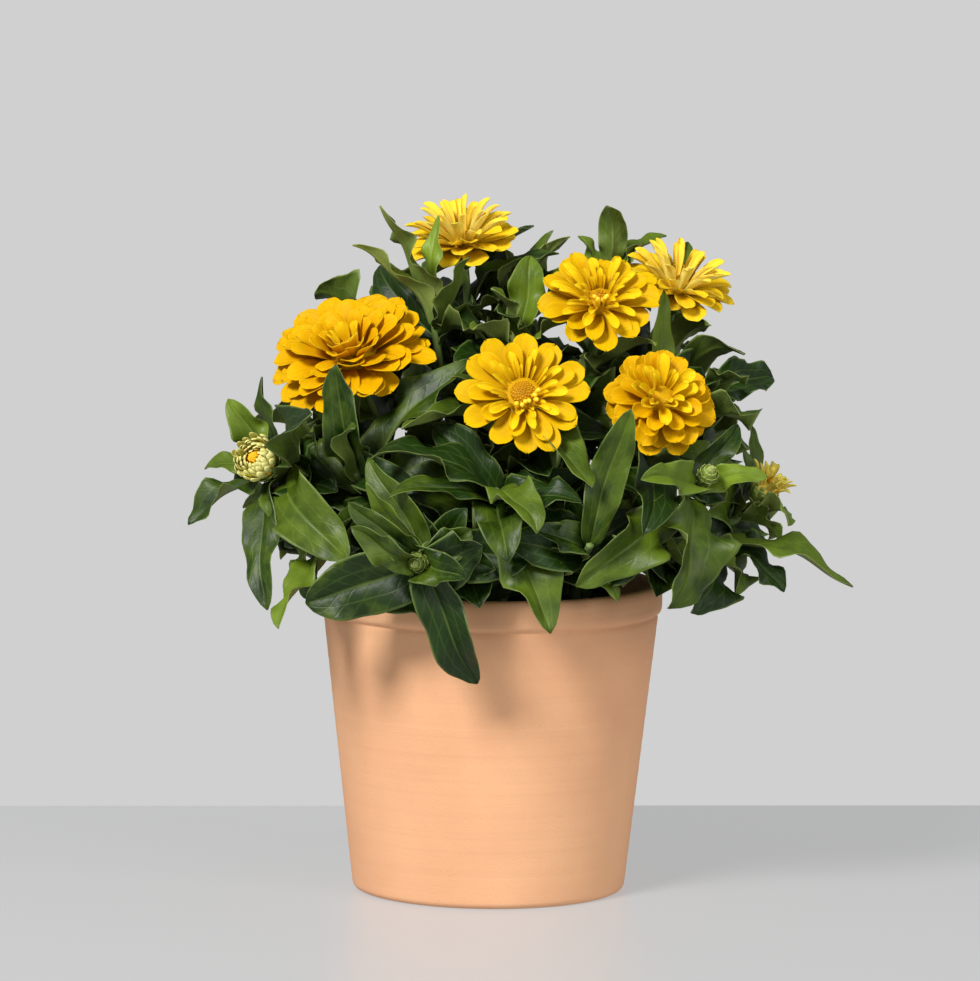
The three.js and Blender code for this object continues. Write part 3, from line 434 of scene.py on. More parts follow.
soil_material, tree, shader = new_material("moist_peat", roughness=0.9)
patches, grains = add_mottle(tree, patches=260.0, grains=1600.0, contrast=3.0)
tree.links.new(mixed_colour(tree, patches, SOIL_DARK, SOIL_LIGHT), shader.inputs["Base Color"])
add_bump(tree, shader, calculate(tree, "ADD", patches, grains), strength=0.9, depth_mm=1.2)
soil_edge = inner_radius(SOIL_EDGE_HEIGHT) - SOIL_GAP
soil_profile = [[0, SOIL_BASE_HEIGHT], [FLOOR_INNER_RADIUS - 4, SOIL_BASE_HEIGHT]]
soil_profile += [[FLOOR_INNER_RADIUS - SOIL_GAP, FLOOR_THICKNESS + 4], [soil_edge, SOIL_EDGE_HEIGHT - 1.5]]
for share in np.linspace(0.995, 0.02, SOIL_RINGS):
    soil_profile.append([soil_edge * share, soil_height(soil_edge * share)])
soil_profile.append([0, SOIL_CROWN_HEIGHT])
soil_part = turned_part(soil_profile, SOIL_SIDES)
top = soil_part["points"][:, 2] > SOIL_EDGE_HEIGHT - 1
x, y = soil_part["points"][top, 0], soil_part["points"][top, 1]
soil_part["points"][top, 2] += soil_crumbs(x, y)
soil_parts = [soil_part]
shred_corners = np.array([[1, 0, 0], [-1, 0, 0], [0, 1, 0], [0, -1, 0], [0, 0, 1], [0, 0, -1]])
shred_faces = [[0, 2, 4], [2, 1, 4], [1, 3, 4], [3, 0, 4], [2, 0, 5], [1, 2, 5], [3, 1, 5], [0, 3, 5]]
shred_rng = np.random.default_rng(7)
for _ in range(SHREDS):
    radius = SHRED_SPREAD * math.sqrt(shred_rng.uniform(0, 1))
    middle = radius * out_at(shred_rng.uniform(0, 2 * math.pi))
    middle[2] = soil_height(radius) + soil_crumbs(middle[0], middle[1]) + SHRED_LIFT
    size = shred_rng.uniform(SHRED_LEAST, SHRED_MOST)
    spin = Quaternion(shred_rng.normal(size=3), shred_rng.uniform(0, SHRED_TIP))
    heading = Quaternion((0, 0, 1), shred_rng.uniform(0, math.pi))
    matrix = np.array((spin @ heading).to_matrix())
    points = (shred_corners * size * shred_rng.uniform(0.75, 1.25, (6, 3))) @ matrix.T + middle
    shred = {"points": points, "faces": shred_faces, "places": np.zeros((6, 2)), "tone": 0.5, "skins": 0}
    soil_parts.append(shred)
place_piece("potting_soil", make_mesh("soil", soil_parts, [soil_material]), "soil", "soil")


# Shoots: each grows from the soil as one round green stem, bends up to its bloom, bud or tuft, and
# carries its leaves straight on the stem.

# Each shoot as (name, kind of end, place of the end, the way it faces, leaves that show), and each
# leaf as (share of the stem's length, tip, width, lift, curl, roll in degrees).
SHOOTS = [
    ("back_left", "cup", (-15, 18, 309), (-0.08, -0.27, 0.96), [
        (0.84, (17, 48, 319), 18, 0.1, 0.12, 0),
        (0.8, (28, 26, 311), 16, 0.12, 0.1, 20),
    ]),
    ("left", "dome", (-67, -32, 259), (-0.28, -0.48, 0.83), []),
    ("upper_centre", "fan", (50, -30, 285), (0, -0.72, 0.69), [
        (0.8, (33, 14, 288), 14, 0.1, 0.06, 0),
        (0.7, (77, -42, 271), 10, 0.14, 0.1, 0),
        (0.6, (43, -50, 268), 13, 0.1, 0.04, -20),
    ]),
    ("front", "open", (14, -80, 246), (0.04, -0.87, 0.49), [
        (0.7, (-17, -74, 259), 9, 0.08, 0.1, 0),
        (0.66, (-40, -98, 236), 15, 0.2, 0.1, 30),
        (0.72, (46, -108, 206), 18, 0.2, 0.16, 0),
    ]),
    ("right", "full", (78, -63, 241), (0.15, -0.82, 0.55), [
        (0.6, (72, -114, 208), 22, 0.3, 0.3, -10),
        (0.7, (85, -14, 292), 13, 0.05, 0.05, 0),
    ]),
    ("back_right", "cup", (88, 15, 288), (0.2, -0.33, 0.92), [
        (0.66, (121, -34, 266), 18, 0.12, 0.1, 0),
        (0.76, (109, -2, 277), 12, 0.1, 0.1, 0),
        (0.78, (96, 56, 314), 13, 0.1, 0.08, 0),
    ]),
    ("far_left", "opening", (-110, -41, 210), (-0.45, -0.8, 0.35), [
        (0.84, (-75, -94, 248), 20, 0, 0.1, 0),
        (0.93, (-131, -46, 239), 13, 0.12, 0.04, 0),
        (0.95, (-144, -38, 215), 11, 0.1, 0.06, 25),
        (0.93, (-147, -60, 185), 18, 0.16, 0.02, 30),
        (0.9, (-104, -72, 143), 15, 0.3, 0.08, 0),
        (0.86, (-75, -96, 175), 24, 0.3, 0.1, 0),
        (0.86, (-110, -18, 248), 11, 0.06, 0.1, 0),
    ]),
    ("far_right", "spiky", (131, -18, 197), (0.5, -0.25, 0.83), [
        (0.9, (144, -42, 190), 12, 0.2, 0.2, 0),
        (0.86, (139, -34, 172), 14, 0.24, 0.16, 0),
        (0.8, (128, 12, 226), 9, 0.1, 0.06, 0),
        (0.84, (129, -14, 219), 9, 0.1, 0.1, 0),
    ]),
    ("right_bud", "closed", (100, -77, 208), (0.3, -0.7, 0.65), [
        (0.9, (130, -72, 211), 9, 0.1, 0.14, 0),
        (0.88, (69, -112, 209), 13, 0.24, 0.2, 0),
        (0.8, (82, -96, 146), 27, 0.34, 0.1, 0),
        (0.84, (115, -52, 232), 11, 0.06, 0.1, 0),
        (0.74, (43, -108, 165), 21, 0.26, 0.14, 0),
    ]),
    ("front_left", "closed", (-33, -114, 172), (-0.3, -0.75, -0.1), [
        (0.94, (-65, -124, 201), 11, 0.14, 0.1, 0),
        (0.9, (-57, -98, 219), 13, 0.1, 0.1, 20),
        (0.92, (-58, -120, 209), 8, 0.1, 0.06, 0),
        (0.95, (-65, -131, 188), 12, 0.2, 0.14, 0),
        (0.9, (-12, -130, 166), 15, 0.3, 0.2, 0),
        (0.93, (-4, -100, 113), 18, 0.3, 0.06, 0),
        (0.74, (-86, -96, 149), 26, 0.12, 0.08, -20),
    ]),
    ("low_left", "tuft", (-80, -58, 176), (-0.5, -0.5, 0.7), [
        (0.97, (-91, -64, 189), 12, 0.4, 0.2, 0),
        (0.98, (-97, -62, 180), 11, 0.24, 0.16, 0),
        (0.94, (-95, -56, 165), 10, 0.3, 0.1, 0),
        (0.86, (-94, -66, 149), 16, 0.2, 0.14, 0),
        (0.8, (-97, -98, 138), 13, 0.24, 0.1, 0),
    ]),
    ("upper_left", "tuft", (-29, -14, 285), (-0.05, -0.1, 1), [
        (0.97, (-53, -36, 332), 15, 0.04, -0.06, 0),
        (0.9, (-65, -20, 315), 11, 0.14, 0.14, 0),
        (0.86, (-72, 16, 294), 19, 0.06, 0.1, -60),
        (0.94, (-34, 4, 328), 9, 0.04, 0.02, 0),
        (0.9, (-12, -32, 307), 16, -0.14, 0.1, 0),
    ]),
    ("centre", "tuft", (12, -20, 272), (0.05, -0.2, 1), [
        (0.92, (0, -34, 294), 13, 0.14, 0.1, 0),
        (0.97, (12, -42, 289), 14, 0.1, 0.1, 0),
        (0.86, (-12, -52, 279), 14, 0.14, 0.04, 0),
        (0.97, (18, -14, 308), 15, 0.05, 0.05, 0),
        (0.9, (34, -36, 288), 13, 0.1, 0.1, 0),
    ]),
    ("top_centre", "tuft", (56, 22, 300), (0, 0, 1), [
        (0.99, (57, 10, 331), 12, 0.04, 0.04, 0),
        (0.96, (66, 24, 318), 9, 0.06, 0.06, 0),
        (0.93, (40, 32, 313), 10, 0.1, 0.08, 0),
        (0.96, (84, 34, 318), 10, 0.1, 0.1, 0),
        (0.9, (56, 52, 306), 14, 0.14, 0.1, 0),
    ]),
    ("far_right_upper", "tuft", (106, -14, 250), (0.3, -0.1, 0.95), [
        (0.9, (117, -48, 253), 14, 0.22, 0.14, 0),
        (0.92, (136, 10, 251), 16, 0.16, 0.1, 20),
        (0.7, (116, 20, 268), 15, 0.1, 0.05, 0),
    ]),
    ("low_right", "tuft", (112, -44, 176), (0.7, -0.4, 0.55), [
        (0.95, (171, -52, 154), 16, 0.2, 0.06, 0),
        (0.9, (117, -58, 151), 24, 0.24, 0.1, 0),
        (0.84, (99, -78, 143), 22, 0.24, 0.1, 0),
        (0.9, (149, -30, 156), 15, 0.24, 0.12, 0),
    ]),
    ("front_right", "tuft", (46, -92, 178), (0.2, -0.6, 0.75), [
        (0.76, (61, -90, 152), 9, 0.2, 0.1, 0),
        (0.86, (31, -122, 181), 14, 0.24, 0.16, 0),
        (0.97, (60, -106, 243), 15, 0.04, -0.1, 0),
    ]),
    ("front_middle", "tuft", (2, -84, 202), (0, -0.6, 0.8), [
        (0.97, (21, -126, 189), 16, 0.24, 0.16, 0),
        (0.9, (-54, -108, 226), 22, 0.16, 0.16, 20),
        (0.86, (-50, -112, 208), 11, 0.14, 0.1, 0),
        (0.8, (2, -120, 174), 20, 0.3, 0.18, 0),
        (0.62, (28, -112, 140), 24, 0.34, 0.1, 0),
    ]),
    ("left_rim", "tuft", (-64, -64, 208), (-0.3, -0.6, 0.75), [
        (0.9, (-21, -60, 267), 20, 0.02, 0.02, 0),
        (0.95, (-73, -86, 259), 16, 0.1, 0.06, 10),
        (0.93, (-66, -98, 241), 10, 0.16, 0.06, 0),
        (0.9, (-42, -106, 198), 15, 0.24, 0.16, 0),
    ]),
    ("rear_left", "tuft", (-96, 46, 228), (-0.6, 0.4, 0.7), []),
    ("rear_middle", "closed", (-34, 98, 236), (-0.2, 0.6, 0.78), []),
    ("rear_right", "closed", (44, 100, 230), (0.25, 0.6, 0.76), []),
    ("far_rear_right", "tuft", (104, 70, 214), (0.6, 0.4, 0.7), []),
    ("rear_top", "tuft", (8, 52, 280), (0, 0, 1), [
        (0.97, (3, 44, 308), 14, 0.06, 0.08, 0),
        (0.95, (26, 32, 301), 15, 0.08, 0.08, 0),
        (0.93, (38, 34, 313), 12, 0.08, 0.06, 0),
        (0.85, (23, 30, 313), 15, 0.05, -0.05, 50),
        (0.8, (33, 18, 300), 16, 0.05, -0.05, 60),
        (0.75, (12, 16, 304), 15, 0.05, -0.05, -40),
    ]),
    ("rear_upper_left", "tuft", (-58, 36, 272), (-0.3, 0.3, 0.9), []),
]
STEM_RADIUS = 2.4
STEM_TIP_RADIUS = 1.9
STEM_UPRIGHT_SHARE = 0.4
STEM_NOD_SHARE = 0.3
ROOT_DEPTH = 24
ROOT_SPREAD = 0.4
ROOT_RINGS = 4
CUP_DEPTH_SHARE = 0.75
STEM_SIDES = 12
STEM_RINGS = 40

# The core of each bloom as (radius, radius at the top, height), and the petals that the leaves keep
# clear of, row by row, as (petals, place on the core's flank, rise, length, width, curl, cup).
BLOOM_CORES = {
    "dome": (16, 6, 7),
    "open": (10, 8.6, 3),
    "fan": (9, 6, 6),
    "full": (11, 5, 10),
    "cup": (8, 5.4, 6),
    "opening": (8.8, 5.6, 3),
    "spiky": (6.6, 4, 3),
}
MAIN_ROWS = {
    "dome": [(12, 0.04, -2, 26, 15, -0.09, 8), (9, 0.3, 14, 24, 14.5, -0.07, 10),
             (7, 0.6, 34, 18, 12.5, -0.04, 12), (5, 0.9, 58, 11.5, 10, 0.0, 16)],
    "open": [(12, 0.1, 10, 20.5, 12, -0.08, 6), (8, 0.7, 28, 15, 8, 0.0, 12)],
    "fan": [(12, 0.08, 9, 20, 11.6, -0.06, 8), (8, 0.5, 30, 17.5, 8.4, 0.0, 12),
            (5, 0.9, 54, 12.6, 6, 0.04, 16)],
    "full": [(11, 0.06, -6, 15.4, 11.2, -0.1, 8), (9, 0.34, 15, 15, 10.6, -0.06, 10),
             (7, 0.62, 38, 13.4, 9, -0.02, 14), (4, 0.9, 60, 11.4, 6.8, 0.04, 16)],
    "cup": [(10, 0.06, 5, 19.5, 9.2, -0.03, 10), (8, 0.34, 24, 20.5, 8.2, 0.0, 12),
            (6, 0.64, 43, 20, 7, 0.03, 14), (4, 0.94, 64, 18, 6, 0.05, 16)],
    "opening": [(7, 0.1, 66, 7.5, 6, 0.34, 12), (5, 0.7, 80, 6.4, 5, 0.3, 12)],
    "spiky": [(9, 0.1, 44, 11, 3, 0.02, 12), (7, 0.6, 62, 9.5, 3, 0.02, 12)],
}
PETAL_SINK = 1.6
PETAL_ARCH = 0.04
PETAL_TURN_PLAY = 0.14
PETAL_RISE_PLAY = 5
PETAL_LENGTH_PLAY = 0.07
BEND_PLACES = (0.33, 0.72)
DEGREE = math.pi / 180
UP = np.array([0, 0, 1.0])
seed = 20611


def draw(low, high):
    """The next of a fixed run of uneven numbers, so that the plant grows the same way each time."""
    global seed
    seed = seed * 16807 % 2147483647
    return low + (high - low) * seed / 2147483647


def unit(vector):
    """A vector of length 1 that points the same way."""
    return vector / np.linalg.norm(vector)


def rotated(vector, axis, degrees):
    """A vector turned about a unit axis."""
    turn = degrees * DEGREE
    across = np.cross(axis, vector)
    return vector * math.cos(turn) + across * math.sin(turn) + axis * (axis @ vector) * (1 - math.cos(turn))


class Curve:
    """A cubic curve through its first and last points, bent by the two between."""

    def __init__(self, *points):
        self.points = np.array(points, float)

    def at(self, share):
        """The points at these shares of the way along, from 0 to 1."""
        t = np.clip(np.asarray(share, float), 0, 1)[..., None]
        a, b, c, d = self.points
        return a * (1 - t) ** 3 + 3 * b * t * (1 - t) ** 2 + 3 * c * t * t * (1 - t) + d * t**3

    def along(self, share):
        """The ways the curve runs at these shares, as unit vectors."""
        share = np.asarray(share, float)
        step = self.at(np.minimum(share + 1e-4, 1)) - self.at(np.maximum(share - 1e-4, 0))
        return step / np.linalg.norm(step, axis=-1, keepdims=True)


def make_stem(end, heart, facing):
    """A shoot's curve, upright out of the soil and turned at its end the way the end faces."""
    heart = np.array(heart, float)
    facing = unit(np.array(facing, float))
    depth = 4 + CUP_DEPTH_SHARE * BLOOM_CORES[end][0] if end in BLOOM_CORES else 0
    head = heart - facing * depth
    ground = np.array([ROOT_SPREAD * heart[0], ROOT_SPREAD * heart[1], SOIL_CROWN_HEIGHT])
    rise = np.linalg.norm(head - ground)
    start = ground + UP * STEM_UPRIGHT_SHARE * rise
    curve = Curve(ground, start, head - facing * STEM_NOD_SHARE * rise, head)
    return {"heart": heart, "facing": facing, "ground": ground, "curve": curve}


def make_blade(root, tip, up, width, lift, curl, roll, cup, ripple, phase):
    """The curve of a leaf, petal or scale from root to tip, with its width and its shape's values."""
    chord = tip - root
    along = unit(chord)
    side = rotated(unit(np.cross(along, up)), along, roll)
    normal = np.cross(side, along) * np.linalg.norm(chord)
    first = root + chord * BEND_PLACES[0] + normal * lift
    second = root + chord * BEND_PLACES[1] + normal * curl
    curve = Curve(root, first, second, tip)
    return {"curve": curve, "side": side, "width": width, "cup": cup * DEGREE,
            "ripple": ripple, "phase": phase, "length": np.linalg.norm(chord)}


def bloom_petals(stem, core, rows, sink=PETAL_SINK, loose=1.0):
    """The petals of a bloom, row by row, each on its own curve out of the core's flank."""
    facing = stem["facing"]
    across = unit(np.array([1.0, 0, 0]) - facing * facing[0])
    upward = np.cross(facing, across)
    wide, narrow, tall = core
    petals = []
    for row, (count, flank, rise, length, width, curl, cup) in enumerate(rows):
        radius = wide + (narrow - wide) * flank
        for k in range(count):
            turn = k + 0.5 * (row % 2) + loose * draw(-PETAL_TURN_PLAY, PETAL_TURN_PLAY)
            angle = 2 * math.pi * turn / count
            out = across * math.cos(angle) + upward * math.sin(angle)
            tilt = (rise + loose * draw(-PETAL_RISE_PLAY, PETAL_RISE_PLAY)) * DEGREE
            along = out * math.cos(tilt) + facing * math.sin(tilt)
            up = facing * math.cos(tilt) - out * math.sin(tilt)
            root = stem["heart"] + out * radius + facing * tall * flank - along * sink
            play = loose * draw(-PETAL_LENGTH_PLAY, PETAL_LENGTH_PLAY)
            tip = root + along * (length + sink) * (0.99 + play)
            lift, bend = PETAL_ARCH, curl + PETAL_ARCH
            petals.append(make_blade(root, tip, up, width, lift, bend, 0, cup, 0, 0))
    return petals


def tube_part(middles, alongs, radii, sides):
    """A closed round tube along a line of points."""
    across = np.array([1.0, 0, 0])
    rings = []
    for middle, along, radius in zip(middles, alongs, radii):
        across = unit(across - along * (across @ along))
        rings.append(middle + circle_points(sides) @ np.stack([across, np.cross(along, across)]) * radius)
    return capped_rings(rings, middles[0], middles[-1])


STEM_DARK = (0.085, 0.150, 0.030, 1.0)
STEM_LIGHT = (0.190, 0.270, 0.075, 1.0)
stem_material, tree, shader = new_material("stem_skin", roughness=0.5)
patches, grains = add_mottle(tree, patches=60.0, grains=1500.0, contrast=2.0)
tree.links.new(mixed_colour(tree, patches, STEM_DARK, STEM_LIGHT), shader.inputs["Base Color"])
add_bump(tree, shader, grains, strength=0.3, depth_mm=0.3)

growth = []
for name, end, heart, facing, shown in SHOOTS:
    stem = make_stem(end, heart, facing)
    petals = bloom_petals(stem, BLOOM_CORES[end], MAIN_ROWS[end]) if end in BLOOM_CORES else []
    growth.append({"name": name, "end": end, "stem": stem, "petals": petals, "shown": shown, "leaves": []})
    shares = np.linspace(0, 1, STEM_RINGS)
    sunk = np.linspace(-ROOT_DEPTH, -1, ROOT_RINGS)
    middles = np.concatenate([stem["ground"] + UP * sunk[:, None], stem["curve"].at(shares)])
    alongs = np.concatenate([np.tile(UP, (ROOT_RINGS, 1)), stem["curve"].along(shares)])
    taper = STEM_RADIUS + (STEM_TIP_RADIUS - STEM_RADIUS) * shares
    radii = np.append(np.full(ROOT_RINGS, STEM_RADIUS), taper)
    mesh = make_mesh("stalk_" + name, [tube_part(middles, alongs, radii, STEM_SIDES)], [stem_material])
    place_piece("stalk_" + name, mesh, "leaf", "stem_" + name)


# Leaves: pointed green blades with a sunk midrib, two strong side veins and waved edges. They sit
# in pairs on the stems. The ones that show come first, then a skirt over the rim, then the rest.

LEAF_BASE_WIDTH = 2.2
LEAF_FULLNESS = 0.9
LEAF_BLUNTNESS = 0.62
LEAF_BASE_OFFSET = 0.7
EDGE_WAVES = 1.3
WAVE_LAG = 1.9
LEAF_ROOM = 5
STEM_ROOM = 5.4
PETAL_ROOM = 5
STEM_MARKS = 25
POT_ROOM = 3
SISTER_ROOM = 3
FILL_ROOM = 2.4
# The leaves that fill the bush: their places on a stem, with lengths and rises for each place.
FILL_LEVELS = (0.96, 0.76, 0.54, 0.34)
FILL_LENGTHS = (52, 66, 76, 78)
FILL_RISES = (32, 16, 2, -4)
FILL_WIDTH_SHARE = 0.42
# The round of the bush, and the shares of its length that a leaf may have to stay inside.
FILL_PARTS = (1, 0.88, 0.76, 0.64)
BUSH_HEART = np.array([4.0, 0, 190])
BUSH_REACH = np.array([118.0, 112, 130])
SKIRT_PLACE = 0.3
SKIRT_LENGTH = 84
SKIRT_RISE = -6
SKIRT_REACH = 70
# Changes tried to find a leaf room, as (turn, rise, share of the length).
TRIES = (
    (0, 0, 1), (14, 0, 1), (-14, 0, 1), (0, 14, 1), (0, -14, 1), (28, 6, 1), (-28, 6, 1),
    (14, 20, 0.9), (-14, 20, 0.9), (14, -18, 0.9), (-14, -18, 0.9), (42, 0, 0.85), (-42, 0, 0.85),
    (0, 32, 0.85), (0, -30, 0.85), (0, 0, 0.7), (24, 16, 0.7), (-24, 16, 0.7), (0, 44, 0.7),
)
SHOWN_TRIES = (
    (0, 0, 1), (5, 0, 1), (-5, 0, 1), (0, 5, 1), (0, -5, 1), (8, 5, 1), (-8, 5, 1), (8, -5, 1),
    (-8, -5, 1), (12, 0, 1), (-12, 0, 1), (0, 11, 1), (0, -11, 1), (16, 8, 0.95), (-16, 8, 0.95),
    (0, 0, 0.85), (10, 0, 0.85), (-10, 0, 0.85), (20, 0, 0.9), (-20, 0, 0.9), (0, 18, 0.9),
    (0, -18, 0.9), (28, 12, 0.85), (-28, 12, 0.85), (28, -12, 0.85), (-28, -12, 0.85),
)


def blade_frames(blade, share):
    """The middle line of a blade, with the ways to its side and out of its upper face."""
    along = blade["curve"].along(share)
    side = blade["side"] - along * (along @ blade["side"])[..., None]
    side = side / np.linalg.norm(side, axis=-1, keepdims=True)
    return blade["curve"].at(share), side, np.cross(side, along)


def plain_leaf_points(blade, share, reach):
    """Where the leaf's middle face lies, from root to tip and from one edge (-1) to the other."""
    share, reach = (part.ravel() for part in np.broadcast_arrays(share, reach))
    rounded = np.sin(np.pi * share**LEAF_FULLNESS) ** LEAF_BLUNTNESS
    half = 0.5 * (LEAF_BASE_WIDTH * (1 - share) + blade["width"] * rounded)
    middle, side, normal = blade_frames(blade, share)
    wave = np.sin(2 * np.pi * EDGE_WAVES * share + blade["phase"] + np.where(reach < 0, WAVE_LAG, 0))
    lift = np.abs(reach) * half * math.sin(blade["cup"]) + blade["ripple"] * half * reach**2 * wave
    across = (reach * half * math.cos(blade["cup"]))[:, None]
    return middle + side * across + normal * lift[:, None]


def petal_mark(petal, share, reach):
    """A point on the outline of a petal, for keeping leaves clear of it."""
    spread = 0.22 + 0.78 * math.sin(math.pi / 2 * min(1, share / 0.75))
    past = max(0, (share - 0.75) / 0.25)
    half = petal["width"] / 2 * spread * math.sqrt(1 - 0.7 * past * past)
    middle, side, normal = blade_frames(petal, np.array([share]))
    lift = abs(reach) * half * math.sin(petal["cup"])
    return middle[0] + side[0] * reach * half * math.cos(petal["cup"]) + normal[0] * lift


def leaf_samples(blade):
    """Points over a leaf where its room is measured."""
    share = np.arange(2, 10)[:, None] / 10
    reach = np.array([-1, -0.5, 0, 0.5, 1])[None, :]
    return np.concatenate([plain_leaf_points(blade, share, reach), blade["curve"].at([1.0])])


# Places that stems, petals and leaves take up, with the room to keep from each and its owner.
OBSTACLE_LIMIT = 60000
taken_places = np.zeros((OBSTACLE_LIMIT, 3))
taken_rooms = np.zeros(OBSTACLE_LIMIT)
taken_owners = np.full(OBSTACLE_LIMIT, -1)
taken_leaves = np.zeros(OBSTACLE_LIMIT, bool)
taken = 0


def take_room(points, owner, room, leaf):
    """Marks these points as taken up by a shoot, by one of its leaves or by another part."""
    global taken
    span = slice(taken, taken + len(points))
    taken_places[span] = points
    taken_rooms[span] = room
    taken_owners[span] = owner
    taken_leaves[span] = leaf
    taken += len(points)


def pot_room(points):
    """How far points are from the pot's rim and wall and from the soil."""
    radius = np.hypot(points[:, 0], points[:, 1])
    height = points[:, 2]
    middle = (RIM_RADIUS + RIM_INNER_RADIUS) / 2
    beside = np.maximum(0, np.abs(radius - middle) - (RIM_RADIUS - middle))
    above = np.hypot(beside, height - POT_HEIGHT)
    inside = np.minimum(RIM_INNER_RADIUS - radius, height - soil_height(radius) - 1)
    return np.where(height > POT_HEIGHT, above, np.where(radius > middle, radius - RIM_RADIUS, inside))


def places_near(owner, root, reach):
    """Taken places within reach, with the room to keep from each: none from the leaf's own stem."""
    near = ((taken_places[:taken] - root) ** 2).sum(1) < reach**2
    rooms = taken_rooms[:taken].copy()
    own = taken_owners[:taken] == owner
    rooms[own & taken_leaves[:taken]] = SISTER_ROOM
    near &= ~(own & own_stem[:taken])
    return taken_places[:taken][near], rooms[near]


own_stem = np.zeros(OBSTACLE_LIMIT, bool)
for owner, plan in enumerate(growth):
    own_stem[taken:taken + STEM_MARKS] = True
    stem_marks = plan["stem"]["curve"].at(np.arange(STEM_MARKS) / (STEM_MARKS - 1))
    take_room(stem_marks, owner, STEM_ROOM, False)
    for petal in plan["petals"]:
        marks = [petal_mark(petal, share, 0) for share in (0.3, 0.65, 1)]
        marks += [petal_mark(petal, 0.85, -0.9), petal_mark(petal, 0.85, 0.9)]
        take_room(np.array(marks), owner, PETAL_ROOM, False)


def polar(length, heading, pitch):
    """A vector of this length, by its heading and its pitch above the level."""
    flat = length * math.cos(pitch)
    return np.array([flat * math.cos(heading), flat * math.sin(heading), length * math.sin(pitch)])


def bent(root, tip, change):
    """The tip after one of the changes."""
    turn, rise, scale = change
    reach = tip - root
    heading = math.atan2(reach[1], reach[0]) + turn * DEGREE
    pitch = math.atan2(reach[2], math.hypot(reach[0], reach[1])) + rise * DEGREE
    return root + polar(np.linalg.norm(reach) * scale, heading, pitch)


def leaf_spec(width, lift, curl, roll):
    """A leaf's shape: its width, lift, curl and roll, with a cup, a ripple and a phase of its own."""
    return (width, lift, curl, roll, draw(6, 20), draw(0.05, 0.2), draw(0, 6.28))


def grow_leaf(owner, place, tip, spec, shown, wanted, tries):
    """The first bend with room enough is kept, and otherwise the one with the most room."""
    plan = growth[owner]
    up = plan["stem"]["curve"].along(place)
    root = plan["stem"]["curve"].at(place)
    outwards = tip - root
    root = root + unit(outwards - up * (outwards @ up)) * LEAF_BASE_OFFSET
    places, rooms = places_near(owner, root, 1.15 * np.linalg.norm(outwards) + 26)
    spans = (places**2).sum(1)
    best, most = None, -1e9
    for change in tries:
        blade = make_blade(root, bent(root, tip, change), up, *spec)
        samples = leaf_samples(blade)
        squares = (samples**2).sum(1)[:, None] + spans[None, :] - 2 * samples @ places.T
        room = (np.sqrt(np.maximum(squares, 0)) - rooms[None, :]).min()
        room = min(room, (pot_room(samples) - POT_ROOM).min())
        if room > most:
            best, most = blade, room
        if room >= wanted:
            break
    if shown or most >= wanted:
        plan["leaves"].append(best)
        take_room(leaf_samples(best), owner, LEAF_ROOM, True)


def reaching(root, reach):
    """The tip of a leaf that is as long as the round of the bush lets it be."""
    for part in FILL_PARTS:
        offset = (root + reach * part - BUSH_HEART) / BUSH_REACH
        if offset @ offset < 1:
            break
    return root + reach * part


for owner, plan in enumerate(growth):
    for place, tip, width, lift, curl, roll in plan["shown"]:
        spec = leaf_spec(width, lift, curl, roll)
        grow_leaf(owner, place, np.array(tip, float), spec, True, 0, SHOWN_TRIES)

for owner, plan in enumerate(growth):
    heart = plan["stem"]["heart"]
    angle = math.atan2(heart[1], heart[0]) + draw(-0.2, 0.2)
    spec = leaf_spec(SKIRT_LENGTH * FILL_WIDTH_SHARE, 0.2, 0.1, draw(-10, 10))
    length = SKIRT_LENGTH * draw(0.88, 1.04)
    if math.hypot(heart[0], heart[1]) > SKIRT_REACH:
        tip = reaching(plan["stem"]["curve"].at(SKIRT_PLACE), polar(length, angle, SKIRT_RISE * DEGREE))
        grow_leaf(owner, SKIRT_PLACE, tip, spec, False, FILL_ROOM, TRIES)

for level, place in enumerate(FILL_LEVELS):
    for owner, plan in enumerate(growth):
        heading = draw(0, 180) + 90 * level
        for turn in (0, 180):
            angle = (heading + turn) * DEGREE
            length = FILL_LENGTHS[level] * draw(0.85, 1.15)
            pitch = (FILL_RISES[level] + draw(-8, 8)) * DEGREE
            lift, curl, roll = draw(0.1, 0.24), draw(0.04, 0.14), draw(-15, 15)
            spec = leaf_spec(length * FILL_WIDTH_SHARE, lift, curl, roll)
            if level >= (1 if plan["shown"] else 0):
                tip = reaching(plan["stem"]["curve"].at(place), polar(length, angle, pitch))
                grow_leaf(owner, place, tip, spec, False, FILL_ROOM, TRIES)


# More leaves of the same kind fill the bush, where light would show through it from some side or
# a deep hole would open in its front. They hide no bloom, and stay behind the leaves that show.
# Their green is darkened with painted shade, for the dark inside of the bush.

INNER_ROUNDS = 16
INNER_LENGTHS = (34, 62)
INNER_RISES = (-6, 46)
INNER_WIDTH_SHARES = (0.36, 0.46)
INNER_ROOM = -2.8
INNER_GAIN = 9
BLOOM_REACH = {"dome": 40, "open": 29, "fan": 29, "full": 27, "cup": 27, "opening": 12, "spiky": 17}
VIEW_DROP = 0.11
VIEW_TURNS = (0, 45, 90, 135)
CELL = 2.5
CELLS = 160
HOLE_DEPTH = 26
HOLE_SPAN = 7
HOLE_FRONT_ROOM = 5
HOLE_BACK_ROOM = 8
HIDING_DEPTH = 3
HIDING_SHARE = 0.15
POT_CELLS = 31
OPEN_DEPTH = 999.0
ROUND_TOP = 312


def hides_bloom(samples):
    """Whether a leaf would stand before a bloom, seen from the front."""
    height = samples[:, 2] + VIEW_DROP * samples[:, 1]
    for plan in growth:
        heart = plan["stem"]["heart"]
        reach = BLOOM_REACH.get(plan["end"], 6)
        beside = np.hypot(samples[:, 0] - heart[0], height - heart[2] - VIEW_DROP * heart[1])
        if ((beside < reach) & (samples[:, 1] < heart[1] + 6)).any():
            return True
    return False


